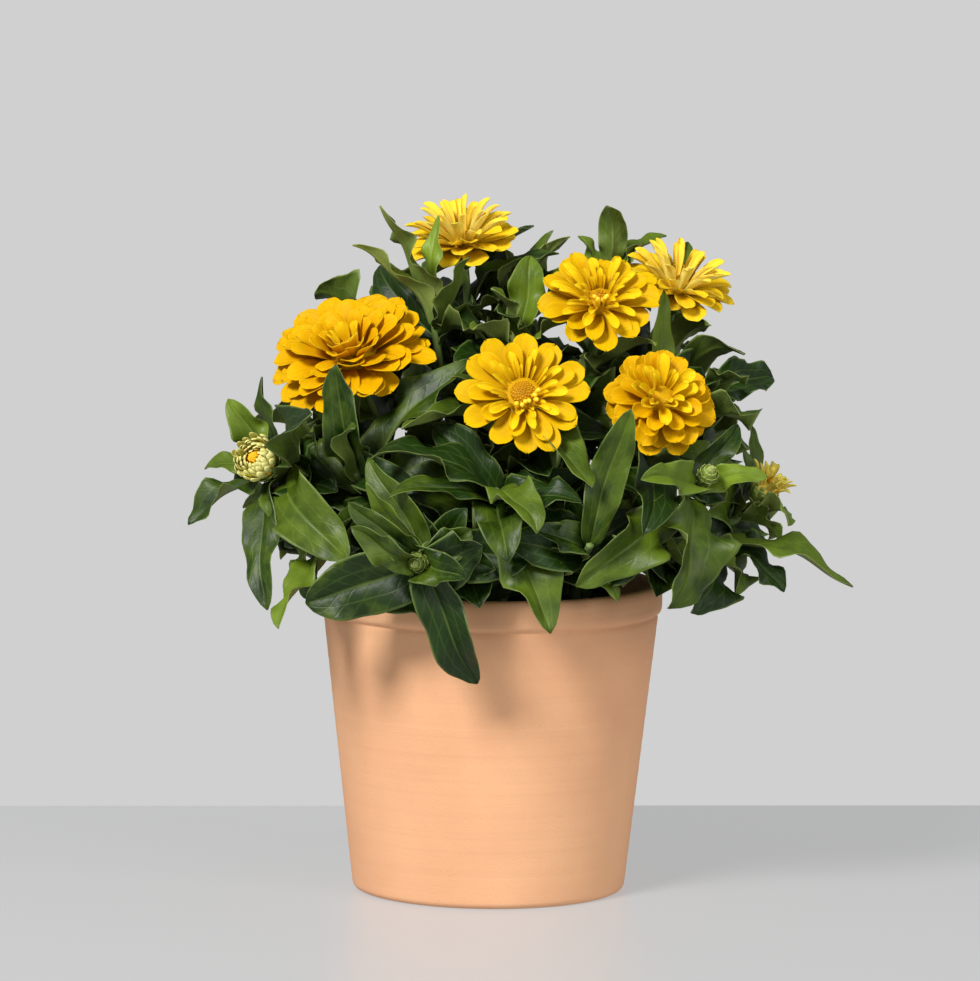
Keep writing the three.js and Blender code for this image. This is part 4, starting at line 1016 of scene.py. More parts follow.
def cells_behind(points, turn):
    """The cells of an upright grid that these points fall in, seen level from one side."""
    cosine, sine = math.cos(turn * DEGREE), math.sin(turn * DEGREE)
    across = points[:, 0] * cosine + points[:, 1] * sine
    height = points[:, 2] + VIEW_DROP * (points[:, 1] * cosine - points[:, 0] * sine)
    columns = np.clip(np.round(across / CELL) + CELLS // 2, 0, CELLS - 1).astype(int)
    return np.clip(np.round(height / CELL), 0, CELLS - 1).astype(int), columns


cell_heights = np.arange(CELLS)[:, None] * CELL
cell_sides = (np.arange(CELLS)[None, :] - CELLS // 2) * CELL
beside_heart = (cell_sides - BUSH_HEART[0]) / BUSH_REACH[0]
above_heart = (cell_heights - BUSH_HEART[2]) / BUSH_REACH[2]
in_round = beside_heart**2 < 1 - above_heart**2
in_round &= (cell_heights > POT_HEIGHT - 6) & (cell_heights < ROUND_TOP)


def enclosed(cover):
    """Open cells in the round of the bush, or with something on each of their four sides."""
    held = np.maximum.accumulate
    beside = held(cover, 1) & held(cover[:, ::-1], 1)[:, ::-1]
    return ~cover & (in_round | beside & held(cover, 0) & held(cover[::-1], 0)[::-1])


def nearest_round(front):
    """For each cell, how near the plant's front comes within a few cells of it."""
    near = front
    for _ in range(HOLE_SPAN):
        for axis in (0, 1):
            near = np.minimum(near, np.minimum(np.roll(near, 1, axis), np.roll(near, -1, axis)))
    return near


def leaf_cover(blade):
    """Points close enough together to cover a leaf's cells."""
    return plain_leaf_points(blade, np.linspace(0.02, 0.96, 26)[:, None], np.linspace(-1, 1, 9)[None, :])


def different(spots, chosen):
    """How many different cells these spots fall in."""
    return len(set(zip(spots[0][chosen].tolist(), spots[1][chosen].tolist())))


covers = np.zeros((len(VIEW_TURNS), CELLS, CELLS), bool)
front = np.full((CELLS, CELLS), OPEN_DEPTH)
around = 2 * np.pi * np.arange(90) / 90
for side, turn in enumerate(VIEW_TURNS):
    facing_side = np.array([out_at(turn * DEGREE), UP, [0, 0, 0]])
    for plan in growth:
        for blade in plan["leaves"]:
            covers[side][cells_behind(leaf_cover(blade), turn)] = True
        for share in np.linspace(0, 1, 12):
            rings = 0.8 * BLOOM_REACH.get(plan["end"], 3) * share
            ball = np.stack([rings * np.cos(around), rings * np.sin(around), 0 * around], 1)
            spots = cells_behind(plan["stem"]["heart"] + ball @ facing_side, turn)
            covers[side][spots] = True
            if side == 0:
                front[spots] = np.minimum(front[spots], plan["stem"]["heart"][1])
    covers[side][:int(POT_HEIGHT / CELL) - 2, CELLS // 2 - POT_CELLS:CELLS // 2 + POT_CELLS + 1] = True
for plan in growth:
    for blade in plan["leaves"]:
        cover = leaf_cover(blade)
        np.minimum.at(front, cells_behind(cover, 0), cover[:, 1])

inner_box = np.array(cad_box) / MM + np.array([[-2.0], [2.0]])


def fills_gap(blade, near):
    """Whether a new inner leaf closes enough open cells; the cells of one that does are marked."""
    samples, cover = leaf_samples(blade), leaf_cover(blade)
    cells = [cells_behind(cover, turn) for turn in VIEW_TURNS]
    gain = sum(different(spots, enclosed(side)[spots]) for side, spots in zip(covers, cells))
    depth, ahead, seen = cover[:, 1], near[cells[0]], front[cells[0]]
    in_hole = (depth > ahead + HOLE_FRONT_ROOM) & (depth < seen - HOLE_BACK_ROOM)
    gain += different(cells[0], in_hole & (seen > ahead + HOLE_DEPTH))
    hides_leaf = (depth < ahead + HIDING_DEPTH) & (ahead < OPEN_DEPTH)
    outside = (samples < inner_box[0]).any() or (samples > inner_box[1]).any()
    if gain < INNER_GAIN or outside or hides_leaf.mean() > HIDING_SHARE or hides_bloom(samples):
        return False
    for side, spots in zip(covers, cells):
        side[spots] = True
    np.minimum.at(front, cells[0], depth)
    return True


for plan in growth:
    plan["inner"] = len(plan["leaves"])
for _ in range(INNER_ROUNDS):
    near = nearest_round(front)
    for owner, plan in enumerate(growth):
        place = draw(0.1, 0.95)
        heading = draw(0, 360)
        for quarter in (0, 90, 180, 270):
            length = draw(*INNER_LENGTHS) * (1.1 - 0.4 * place)
            angle = (heading + quarter + draw(-25, 25)) * DEGREE
            pitch = draw(*INNER_RISES) * DEGREE
            width = length * draw(*INNER_WIDTH_SHARES)
            spec = leaf_spec(width, draw(0.12, 0.28), draw(0.04, 0.18), draw(-20, 20))
            tip = reaching(plan["stem"]["curve"].at(place), polar(length, angle, pitch))
            count, taken_before = len(plan["leaves"]), taken
            grow_leaf(owner, place, tip, spec, False, INNER_ROOM, TRIES[:7])
            if len(plan["leaves"]) > count and not fills_gap(plan["leaves"][-1], near):
                plan["leaves"].pop()
                taken = taken_before


def sheet_faces(rows, columns):
    """Faces of a closed thin blade: its upper grid of points, its under grid, and the rim between."""
    size = rows * columns
    upper = np.array(grid_faces(rows, columns, False))
    under = upper[:, [0, 3, 2, 1]] + size
    left = np.arange(rows - 1) * columns
    right = left + columns - 1
    root = np.arange(columns - 1)
    tip = root + (rows - 1) * columns
    rim = [
        np.stack([left, left + columns, left + columns + size, left + size], 1),
        np.stack([right + size, right + columns + size, right + columns, right], 1),
        np.stack([root + 1, root, root + size, root + 1 + size], 1),
        np.stack([tip, tip + 1, tip + 1 + size, tip + size], 1),
    ]
    faces = np.concatenate([upper, under, *rim])
    return faces.tolist(), np.where(np.arange(len(faces)) < len(upper), 0, 1)


def sheet_part(upper, under, share, reach, tone, faces, skins):
    """A closed sheet as one part of a mesh, with its places along and across for the veins."""
    places = np.column_stack([share.ravel(), 0.5 + 0.5 * reach.ravel()])
    return {"points": np.concatenate([upper, under]), "faces": faces,
            "places": np.concatenate([places, places]), "tone": tone, "skins": skins}


SHOWN_REACHES = (-1, -0.88, -0.68, -0.5, -0.4, -0.26, -0.1, 0, 0.1, 0.26, 0.4, 0.5, 0.68, 0.88, 1)
INNER_REACHES = (-1, -0.8, -0.5, -0.25, 0, 0.25, 0.5, 0.8, 1)
SHOWN_GRID = (22, np.array(SHOWN_REACHES))
INNER_GRID = (14, np.array(INNER_REACHES))
# Painted shade: the inner leaves' tone is lowered by this much, so that they are darker green, as the inside
# of the bush lies in shade.
INNER_PAINTED_SHADE = 0.3
OLD_LEAF_WIDTH = 17
YOUTH_SPAN = 12
LEAF_BREADTH = 1.2
LEAF_CLASP_WIDTH = 4.2
LEAF_MIDDLE_THICKNESS = 0.6
LEAF_EDGE_THICKNESS = 0.16
LEAF_SWAY = 0.04
LEAF_ROLL = 0.03
LEAF_TWIST = 30
LEAF_TWIRL = 12
LEAF_FOLD = 0.14
LEAF_PUCKER = 0.044
LEAF_DROOP = 0.08
RIPPLE_GAIN = 2.3
RIPPLE_LEAST = 0.22
FRILL_SHARE = 0.36
MIDRIB_DEPTH = 0.6
RIB_DEPTH = 0.9
SIDE_VEIN_DEPTH = 0.16
SIDE_VEIN_PLACE = 0.45


def twisted(side, normal, turn):
    """A blade's side and normal turned about its length, by this turn at each point."""
    cosine, sine = np.cos(turn)[:, None], np.sin(turn)[:, None]
    return side * cosine + normal * sine, normal * cosine - side * sine


def leaf_part(blade, grid):
    """A living leaf on its blade's curve: rounded base, waved edges, drooping tip, puckered veins."""
    rows, reaches = grid
    share, reach = np.meshgrid(np.linspace(0, 1, rows), reaches, indexing="ij")
    s, r = share.ravel(), reach.ravel()
    phase, width, length = blade["phase"], blade["width"], blade["length"]
    fullness = LEAF_FULLNESS * (1 + 0.12 * math.sin(3.1 * phase))
    outline = np.sin(np.pi * np.minimum(s, 0.999) ** fullness) ** LEAF_BLUNTNESS
    half = 0.5 * (LEAF_BREADTH * width * outline + LEAF_CLASP_WIDTH * (1 - s) ** 5) + 0.12
    middle, side, normal = blade_frames(blade, s)
    sway = LEAF_SWAY * length * math.sin(4.1 * phase) * np.sin(np.pi * 1.7 * s) * s**0.5
    roll = LEAF_ROLL * length * np.sin(2 * np.pi * 1.2 * s + 2.7 * phase) * np.sin(np.pi * s)
    middle = middle + side * sway[:, None] + normal * roll[:, None]
    turn = LEAF_TWIST * math.sin(2.3 * phase) * s**1.4 + LEAF_TWIRL * np.sin(6.5 * s + phase) * s
    side, normal = twisted(side, normal, turn * DEGREE)
    side_lag = np.where(r < 0, WAVE_LAG, 0)
    ripple = RIPPLE_GAIN * blade["ripple"] + RIPPLE_LEAST
    wave = np.sin(2 * np.pi * 1.9 * s + phase + side_lag)
    frill = np.sin(2 * np.pi * 4.1 * s + 2.1 * phase + 1.3 * side_lag)
    fold = blade["cup"] + LEAF_FOLD + LEAF_FOLD * math.sin(7.7 * phase)
    cupped = half * math.sin(fold) * (0.8 * np.abs(r) + 0.2 * r**2)
    waved = half * ripple * (r**2 * wave + FRILL_SHARE * np.abs(r) ** 3 * frill) * np.sin(np.pi * s**0.8)
    midrib = -MIDRIB_DEPTH * np.exp(-((r / 0.09) ** 2)) * (1 - 0.6 * s)
    side_vein = -SIDE_VEIN_DEPTH * np.exp(-(((np.abs(r) - SIDE_VEIN_PLACE) / 0.07) ** 2)) * (1 - s)
    folds = np.sin(np.pi * 6 * (s - 0.25 * np.abs(r)) + phase) ** 2
    pucker = LEAF_PUCKER * width * folds * 4 * np.abs(r) * (1 - np.abs(r)) * np.minimum(1, 6 * (1 - s))
    droop = -LEAF_DROOP * length * (0.6 + 0.8 * math.sin(1.7 * phase)) * np.maximum(0, (s - 0.5) / 0.5) ** 2
    lift = cupped + waved + midrib + side_vein + pucker + droop
    points = middle + side * (r * half * math.cos(blade["cup"]))[:, None] + normal * lift[:, None]
    thick = LEAF_EDGE_THICKNESS + (LEAF_MIDDLE_THICKNESS - LEAF_EDGE_THICKNESS) * (1 - r**2) * (1 - 0.5 * s)
    rib = RIB_DEPTH * np.exp(-((r * half / 0.9) ** 2)) * (1 - 0.75 * s)
    upper = points + normal * (thick / 2)[:, None]
    under = points - normal * (thick / 2 + rib)[:, None]
    youth = min(1, max(0, (OLD_LEAF_WIDTH - width) / YOUTH_SPAN))
    # The inner leaves' lower tone is painted shade, for the dark inside of the bush.
    tone = 0.02 + 0.60 * youth + 0.28 * math.sin(5.3 * phase) - (INNER_PAINTED_SHADE if grid is INNER_GRID else 0)
    faces, skins = sheet_faces(rows, len(reaches))
    return sheet_part(upper, under, share, reach, tone, faces, skins)


def blade_axes(tree):
    """The place on a blade, its share of the length, and its place from one edge (0) to the other."""
    place = add_node(tree, "UVMap", uv_map="blade").outputs["UV"]
    axes = add_node(tree, "SeparateXYZ", {0: place})
    return place, axes.outputs[0], axes.outputs[1]


def reach_of(tree, across):
    """How far from the middle line (0) to an edge (1) of the blade."""
    return calculate(tree, "ABSOLUTE", calculate(tree, "MULTIPLY_ADD", across, 2.0, -1.0))


def faded(tree, value, start, end, low=0.0, high=1.0):
    """A value that runs from low to high while another runs from start to end."""
    return add_node(tree, "MapRange", {0: value, 1: start, 2: end, 3: low, 4: high}).outputs[0]


def tone_of(tree):
    """The tone that each leaf, petal, floret or scale was given, for shifts from one to the next."""
    return add_node(tree, "Attribute", attribute_name="tone").outputs["Fac"]


def leaf_vein_group():
    """Masks for a leaf's pale midrib, its two side veins and its thin pale margin."""
    group = bpy.data.node_groups.new("leaf veins", "ShaderNodeTree")
    for name in ("Veins", "Margin", "Ribbing"):
        group.interface.new_socket(name, in_out="OUTPUT", socket_type="NodeSocketFloat")
    result = group.nodes.new("NodeGroupOutput")
    place, share, across = blade_axes(group)
    reach = reach_of(group, across)

    def ridge(centre, breadth):
        away = calculate(group, "ABSOLUTE", calculate(group, "SUBTRACT", reach, centre))
        return faded(group, away, 0.0, breadth, 1.0, 0.0)

    fading = calculate(group, "SUBTRACT", 1.0, calculate(group, "MULTIPLY", share, 0.7))
    midrib = calculate(group, "MULTIPLY", ridge(0.0, 0.075), fading)
    flank = calculate(group, "MULTIPLY", ridge(SIDE_VEIN_PLACE, 0.04), 0.3)
    slant = calculate(group, "MULTIPLY_ADD", reach, -0.24, share)
    wander = add_node(group, "TexNoise", {"Vector": place, "Scale": 6.0}).outputs["Fac"]
    slant = calculate(group, "MULTIPLY_ADD", wander, 0.07, slant)
    cycle = calculate(group, "SINE", calculate(group, "MULTIPLY", slant, 52.0))
    branch = calculate(group, "POWER", calculate(group, "MAXIMUM", cycle, 0.0), 9.0)
    main = calculate(group, "MAXIMUM", midrib, flank)
    veins = calculate(group, "MAXIMUM", main, calculate(group, "MULTIPLY", branch, 0.13))
    relief = calculate(group, "MAXIMUM", main, calculate(group, "MULTIPLY", branch, 0.34))
    group.links.new(veins, result.inputs["Veins"])
    group.links.new(faded(group, reach, 0.90, 1.0), result.inputs["Margin"])
    group.links.new(calculate(group, "SUBTRACT", 1.0, relief), result.inputs["Ribbing"])
    return group


LEAF_VEINS = leaf_vein_group()


def leaf_material(name, old, young, vein, roughness, vein_share, sheen):
    """Green that goes from old to young with a leaf's tone, with pale veins and margin."""
    material, tree, shader = new_material(name, roughness)
    patches, grains = add_mottle(tree, patches=75.0, grains=700.0, contrast=2.2)
    age = calculate(tree, "MULTIPLY_ADD", calculate(tree, "SUBTRACT", patches, 0.5), 0.36, tone_of(tree))
    green = mixed_colour(tree, add_node(tree, "Clamp", {0: age}).outputs[0], old, young)
    veins = add_node(tree, "Group", node_tree=LEAF_VEINS)
    green = mixed_colour(tree, calculate(tree, "MULTIPLY", veins.outputs["Veins"], vein_share), green, vein)
    green = mixed_colour(tree, calculate(tree, "MULTIPLY", veins.outputs["Margin"], 0.5), green, vein)
    tree.links.new(green, shader.inputs["Base Color"])
    relief = calculate(tree, "MULTIPLY_ADD", grains, 0.5, veins.outputs["Ribbing"])
    add_bump(tree, shader, relief, strength=0.5, depth_mm=0.4)
    shader.inputs["Sheen Weight"].default_value = sheen
    shader.inputs["Sheen Roughness"].default_value = 0.5
    shader.inputs["Specular IOR Level"].default_value = 0.28
    return material


LEAF_TOP = leaf_material(
    "leaf_upper_face", old=(0.008, 0.027, 0.0003, 1), young=(0.212, 0.312, 0.018, 1),
    vein=(0.215, 0.300, 0.070, 1), roughness=0.45, vein_share=0.42, sheen=0.0,
)
LEAF_UNDER = leaf_material(
    "leaf_under_face", old=(0.075, 0.120, 0.010, 1), young=(0.310, 0.390, 0.090, 1),
    vein=(0.320, 0.380, 0.130, 1), roughness=0.6, vein_share=0.5, sheen=0.03,
)
for plan in growth:
    grids = [INNER_GRID if i >= plan["inner"] else SHOWN_GRID for i in range(len(plan["leaves"]))]
    parts = [leaf_part(blade, grid) for blade, grid in zip(plan["leaves"], grids)]
    name = "leaves_" + plan["name"]
    mesh = make_mesh(name, parts, [LEAF_TOP, LEAF_UNDER])
    place_piece(name, mesh, "leaf", "stem_" + plan["name"])


# Blooms: rows of soft golden petals on the flank of a small core, the outer ones broad and
# grooved, the inner ones narrower and rolled. Two paler blooms stand more upright, like cups.

# Rows of petals as (petals, place on the core's flank, rise, length, width, curl, cup).
PETAL_ROWS = {
    "dome": [
        (14, 0.0, 2, 25.5, 15, -0.09, 24), (13, 0.12, 8, 25.5, 15, -0.09, 26),
        (12, 0.26, 15, 24, 15, -0.08, 30), (11, 0.42, 24, 21.5, 14, -0.05, 34),
        (9, 0.58, 35, 18.5, 13, -0.02, 38), (8, 0.74, 48, 15.5, 12, 0.02, 44),
        (6, 0.88, 62, 12.5, 10.5, 0.05, 54), (5, 1.0, 74, 9.5, 8.5, 0.06, 62),
    ],
    "open": [
        (12, 0.05, 10, 21, 12.6, -0.1, 24), (9, 0.35, 20, 17, 9.4, -0.05, 40),
        (10, 0.62, 32, 14, 6, 0.0, 75), (12, 0.9, 46, 10.5, 4, 0.05, 95),
        (11, 1.0, 56, 6.4, 2.4, 0.05, 95),
    ],
    "fan": [
        (12, 0.04, 8, 20.5, 12.4, -0.08, 24), (10, 0.24, 18, 19, 10, -0.05, 38),
        (10, 0.46, 30, 17.4, 6.6, 0.0, 80), (9, 0.68, 44, 14.6, 5.2, 0.03, 90),
        (8, 0.88, 60, 12, 4.2, 0.05, 95), (8, 1.0, 70, 7, 3, 0.05, 95),
    ],
    "full": [
        (11, 0.02, -6, 15.8, 12, -0.14, 24), (11, 0.18, 5, 15.6, 11.8, -0.1, 28),
        (10, 0.34, 17, 15.2, 11.2, -0.06, 34), (9, 0.5, 30, 14.2, 10, -0.02, 44),
        (8, 0.66, 43, 13.4, 8, 0.02, 70), (7, 0.82, 57, 12, 6, 0.04, 85),
        (5, 0.96, 72, 10.6, 4.8, 0.05, 90),
    ],
    "cup": [
        (10, 0.03, 4, 19.5, 13, -0.06, 28), (10, 0.18, 14, 20.5, 11.5, -0.03, 34),
        (10, 0.36, 26, 21, 9, 0.0, 56), (9, 0.54, 38, 20.5, 7.2, 0.02, 75),
        (8, 0.72, 51, 19, 6.2, 0.03, 85), (6, 0.9, 64, 17, 5.2, 0.04, 95),
    ],
    "opening": [
        (16, 0.05, 80, 9, 4.2, -0.36, 40), (15, 0.28, 90, 8.8, 3.8, -0.34, 44),
        (14, 0.5, 101, 8, 3.4, -0.32, 50), (12, 0.72, 111, 7, 3, -0.3, 50),
        (10, 0.9, 120, 5.6, 2.6, -0.24, 50),
    ],
    "spiky": [
        (10, 0.3, 52, 9.5, 3, 0.06, 85), (9, 0.6, 64, 8.6, 2.8, 0.07, 85),
        (7, 0.9, 78, 6.6, 2.6, 0.06, 85),
    ],
}
PETAL_LOOSENESS = {
    "dome": 2.0, "open": 1.3, "fan": 1.7, "full": 1.9, "cup": 1.8, "opening": 1.4, "spiky": 2.2
}
NOTCHED = ("dome", "open", "fan", "full")
SOFT_PETAL_SINK = 2.4
ROLLED_FOLD = 60
GROOVE_DEPTH = 0.24
GROOVE_PLACE = 0.36
GROOVE_BREADTH = 0.13
PETAL_GRID_ROWS = 13
PETAL_REACHES = np.array([-1, -0.82, -0.6, -0.4, -0.2, 0, 0.2, 0.4, 0.6, 0.82, 1])
PETAL_FACES, PETAL_SKINS = sheet_faces(PETAL_GRID_ROWS, len(PETAL_REACHES))
PETAL_THICKNESS = 0.5
PETAL_EDGE_THICKNESS = 0.16


def petal_part(petal, notched):
    """A petal: narrow at its root, broad and rounded at its end, with two grooves along it."""
    spaced = np.linspace(0, 1, PETAL_GRID_ROWS) ** 0.85
    share, reach = np.meshgrid(spaced, PETAL_REACHES, indexing="ij")
    s, r = share.ravel(), reach.ravel()
    length = petal["length"]
    shift, twist, wave = draw(0, 6.28), draw(-16, 16), draw(-1, 1)
    notch = draw(0, 0.07) if notched else 0
    spread = 0.3 + 0.7 * np.sin(np.pi / 2 * np.minimum(1, s / 0.68)) ** 1.15
    past = np.maximum(0, (s - 0.66) / 0.34)
    half = petal["width"] / 2 * spread * np.sqrt(np.maximum(0.012, 1 - past**2.3))
    middle, side, normal = blade_frames(petal, s)
    along = np.cross(normal, side)
    side, normal = twisted(side, normal, twist * s * DEGREE)
    fold = petal["cup"] * draw(0.8, 1.2) * (1 - 0.35 * past) * (0.55 + 0.45 * np.minimum(1, 3 * s))
    cupped = half * (1 - np.cos(r * fold)) / fold
    groove = np.exp(-(((np.abs(r) - GROOVE_PLACE) / GROOVE_BREADTH) ** 2))
    grooves = -GROOVE_DEPTH * groove * np.minimum(1, 4 * s) * (1 - past**2)
    waved = 0.1 * half * r**2 * np.sin(5.5 * s + shift + np.where(r < 0, 2.2, 0))
    tipped = length * (0.07 * wave - 0.03) * past**1.6
    lift = cupped + grooves + waved + tipped
    back = length * notch * np.exp(-((r / 0.32) ** 2)) * past**2
    points = middle + side * (half * np.sin(r * fold) / fold)[:, None]
    points = points + normal * lift[:, None] - along * back[:, None]
    thick = PETAL_EDGE_THICKNESS + (PETAL_THICKNESS - PETAL_EDGE_THICKNESS) * (1 - r**2) * (1 - 0.6 * s)
    upper = points + normal * (thick / 2)[:, None]
    under = points - normal * (thick / 2)[:, None]
    skins = PETAL_SKINS + (2 if petal["cup"] > ROLLED_FOLD * DEGREE else 0)
    return sheet_part(upper, under, share, reach, 0.5 + 0.42 * wave, PETAL_FACES, skins)


def petal_material(name, root, middle, tip, shade, roughness):
    """Colour runs from root to tip, with fine lines along the petal and a shift from petal to petal."""
    material, tree, shader = new_material(name, roughness)
    place, share, _ = blade_axes(tree)
    # Painted shade: where the root colour is darker and more orange than the middle, it stands for the shade
    # deep in the bloom.
    near = mixed_colour(tree, faded(tree, share, 0.08, 0.5), (*root, 1), (*middle, 1))
    colour = mixed_colour(tree, faded(tree, share, 0.55, 1.0), near, (*tip, 1))
    stretched = add_node(tree, "Mapping", {"Vector": place, "Scale": (1.2, 15.0, 1.0)}).outputs[0]
    tone = tone_of(tree)
    line = {"Vector": stretched, "W": tone, "Scale": 1.0, "Detail": 2.0}
    lines = add_node(tree, "TexNoise", line, noise_dimensions="4D").outputs["Fac"]
    colour = mixed_colour(tree, faded(tree, lines, 0.42, 0.72, 0.0, 0.55), colour, (*shade, 1))
    colour = mixed_colour(tree, calculate(tree, "MULTIPLY", tone, 0.35), colour, (*tip, 1))
    tree.links.new(colour, shader.inputs["Base Color"])
    _, grains = add_mottle(tree, patches=150.0, grains=2400.0, contrast=1.6)
    add_bump(tree, shader, calculate(tree, "MULTIPLY_ADD", grains, 0.25, lines), strength=0.45, depth_mm=0.3)
    shader.inputs["Subsurface Weight"].default_value = 0.18
    shader.inputs["Subsurface Radius"].default_value = (1.0, 0.55, 0.1)
    shader.inputs["Subsurface Scale"].default_value = 0.0012
    shader.inputs["Specular IOR Level"].default_value = 0.07
    return material


# Each petal skin's colours at the root, the middle and the tip, that of its fine lines, and its
# roughness. On the golden and cream skins the root is darker and more orange: painted shade deep in
# the bloom.
PETAL_FINISHES = {
    "golden_petal_face": (
        (0.43, 0.205, 0.0005), (0.59, 0.34, 0.0005), (0.68, 0.42, 0.001), (0.48, 0.26, 0.0005), 0.55,
    ),
    "cream_petal_face": (
        (0.56, 0.33, 0.002), (0.76, 0.49, 0.006), (0.84, 0.57, 0.020), (0.62, 0.40, 0.004), 0.55,
    ),
    "golden_petal_back": (
        (0.56, 0.37, 0.012), (0.71, 0.48, 0.012), (0.77, 0.51, 0.008), (0.60, 0.37, 0.006), 0.6,
    ),
    "deep_golden_face": (
        (0.46, 0.19, 0.0004), (0.60, 0.315, 0.0004), (0.69, 0.395, 0.001), (0.50, 0.235, 0.0004), 0.55,
    ),
    "deep_golden_back": (
        (0.56, 0.34, 0.010), (0.70, 0.43, 0.010), (0.76, 0.47, 0.006), (0.60, 0.33, 0.005), 0.6,
    ),
    "petal_seats": (
        (0.46, 0.26, 0.003), (0.52, 0.29, 0.003), (0.56, 0.32, 0.003), (0.34, 0.17, 0.002), 0.65,
    ),
    "rolled_petal_face": (
        (0.57, 0.31, 0.001), (0.73, 0.46, 0.003), (0.82, 0.56, 0.008), (0.62, 0.37, 0.002), 0.55,
    ),
    "rolled_petal_back": (
        (0.72, 0.50, 0.02), (0.84, 0.60, 0.03), (0.86, 0.60, 0.02), (0.72, 0.47, 0.012), 0.6,
    ),
    "cream_petal_back": (
        (0.58, 0.50, 0.05), (0.80, 0.63, 0.09), (0.85, 0.60, 0.03), (0.70, 0.55, 0.05), 0.6,
    ),
    "cream_rolled_face": (
        (0.82, 0.54, 0.03), (0.92, 0.64, 0.07), (0.95, 0.62, 0.03), (0.80, 0.54, 0.05), 0.55,
    ),
    "cream_rolled_back": (
        (0.68, 0.60, 0.10), (0.88, 0.76, 0.21), (0.90, 0.69, 0.08), (0.74, 0.62, 0.10), 0.6,
    ),
    "opening_bud_ray": (
        (0.44, 0.46, 0.08), (0.70, 0.66, 0.16), (0.82, 0.76, 0.30), (0.40, 0.42, 0.10), 0.6,
    ),
    "olive_ray": (
        (0.90, 0.42, 0.02), (0.80, 0.62, 0.10), (0.52, 0.46, 0.08), (0.62, 0.48, 0.06), 0.6,
    ),
    "opening_bud_heart": (
        (0.70, 0.26, 0.01), (0.88, 0.42, 0.01), (0.93, 0.56, 0.03), (0.80, 0.36, 0.01), 0.6,
    ),
}
PETAL_MATERIALS = {name: petal_material(name, *finish) for name, finish in PETAL_FINISHES.items()}

# The skins of a bloom: the face and back of its open petals, those of its rolled ones, and its core.
CORE_SKIN = 4
ROLLED = ("rolled_petal_face", "rolled_petal_back")
GOLDEN = ("golden_petal_face", "golden_petal_back", *ROLLED, "petal_seats")
DEEP_GOLDEN = ("deep_golden_face", "deep_golden_back", *ROLLED, "petal_seats")
CREAM = ("cream_petal_face", "cream_petal_back", "cream_rolled_face", "cream_rolled_back", "petal_seats")
YOUNG = ("opening_bud_ray",) * 4 + ("opening_bud_heart",)
OLIVE = ("olive_ray",) * 5
BLOOM_SKINS = {
    "dome": DEEP_GOLDEN, "full": DEEP_GOLDEN, "open": GOLDEN, "fan": GOLDEN,
    "cup": CREAM, "opening": YOUNG, "spiky": OLIVE,
}
HEART_FLORETS = 26
HEART_RADIUS = 4.4
HEART_TURN = 2.4
CORE_SIDES = 32


def placed_on(stem, part):
    """Turns a part made about Z onto a shoot's end, with its Z along the way that the end faces."""
    facing = stem["facing"]
    across = unit(np.array([1.0, 0, 0]) - facing * facing[0])
    axes = np.stack([across, np.cross(facing, across), facing])
    part["points"] = part["points"] @ axes + stem["heart"]
    return part


def straight_tube(root, along, heights, radii, sides):
    """A round rod from its root, with a radius for each height along it."""
    return tube_part(root + along * heights[:, None], np.tile(along, (len(heights), 1)), radii, sides)


def bloom_core(end):
    """The small cone in the middle of a bloom that its petals grow on."""
    wide, narrow, tall = BLOOM_CORES[end]
    profile = [[0, -3], [wide * 0.9, -2.6], [wide, -1], [wide * 0.98, 0.4]]
    profile += [[narrow + 0.2, tall * 0.94], [narrow * 0.5, tall + 0.2], [0, tall + 0.3]]
    return turned_part(profile, CORE_SIDES)


def heart_floret(i, tall):
    """One closed golden floret in the heart of the opening bud, set in a spiral."""
    away = HEART_RADIUS * math.sqrt((i + 0.5) / HEART_FLORETS)
    out = out_at(HEART_TURN * i)
    along = unit(UP - 0.1 * out * away)
    heights = np.array([0, 3.5, 6, 7.4 - 0.3 * away])
    return straight_tube(out * away + UP * (tall - 1), along, heights, (0.45, 0.6, 0.6, 0.25), 8)


for plan in growth:
    end, stem = plan["end"], plan["stem"]
    if end not in PETAL_ROWS:
        continue
    petals = bloom_petals(stem, BLOOM_CORES[end], PETAL_ROWS[end], SOFT_PETAL_SINK, PETAL_LOOSENESS[end])
    parts = [petal_part(petal, end in NOTCHED) for petal in petals]
    hearts = [bloom_core(end)]
    if end == "opening":
        hearts += [heart_floret(i, BLOOM_CORES[end][2]) for i in range(HEART_FLORETS)]
    for heart in hearts:
        heart["skins"] = CORE_SKIN
        parts.append(placed_on(stem, heart))
    name = "petals_of_" + plan["name"]
    mesh = make_mesh(name, parts, [PETAL_MATERIALS[skin] for skin in BLOOM_SKINS[end]])
    slot = "young_petal" if end in ("opening", "spiky") else "petal"
    place_piece(name, mesh, slot, "petals_" + plan["name"])


# Discs: the eye of an open bloom, a low dome of tiny golden-brown florets set in a spiral, with a
# few young ray florets, still rolled up into plump yellow clubs, on its lower side.

DISC_SIZES = {"open": (6.4, 3.6), "fan": (4, 2.6), "cup": (3.2, 2.4), "spiky": (2.2, 4)}
GOLDEN_TURN = math.pi * (3 - math.sqrt(5))
FLORET_PITCH = 0.78
FLORET_SHARES = np.array([-0.5, 0.2, 0.62, 0.9])
FLORET_SWELL = np.array([0.8, 1.0, 1.12, 0.5])
CLUBS = {"open": 7, "fan": 5}
CLUB_SHARES = np.array([0.0, 0.3, 0.6, 0.85, 1.0])
CLUB_RADII = (0.5, 0.75, 1.15, 1.05, 0.4)
CLUB_SKIN = 1
CLUB_FIRST_TURN = -118
CLUB_STEP_TURN = 19
CLUB_LENGTHS = (4.2, 6.2)

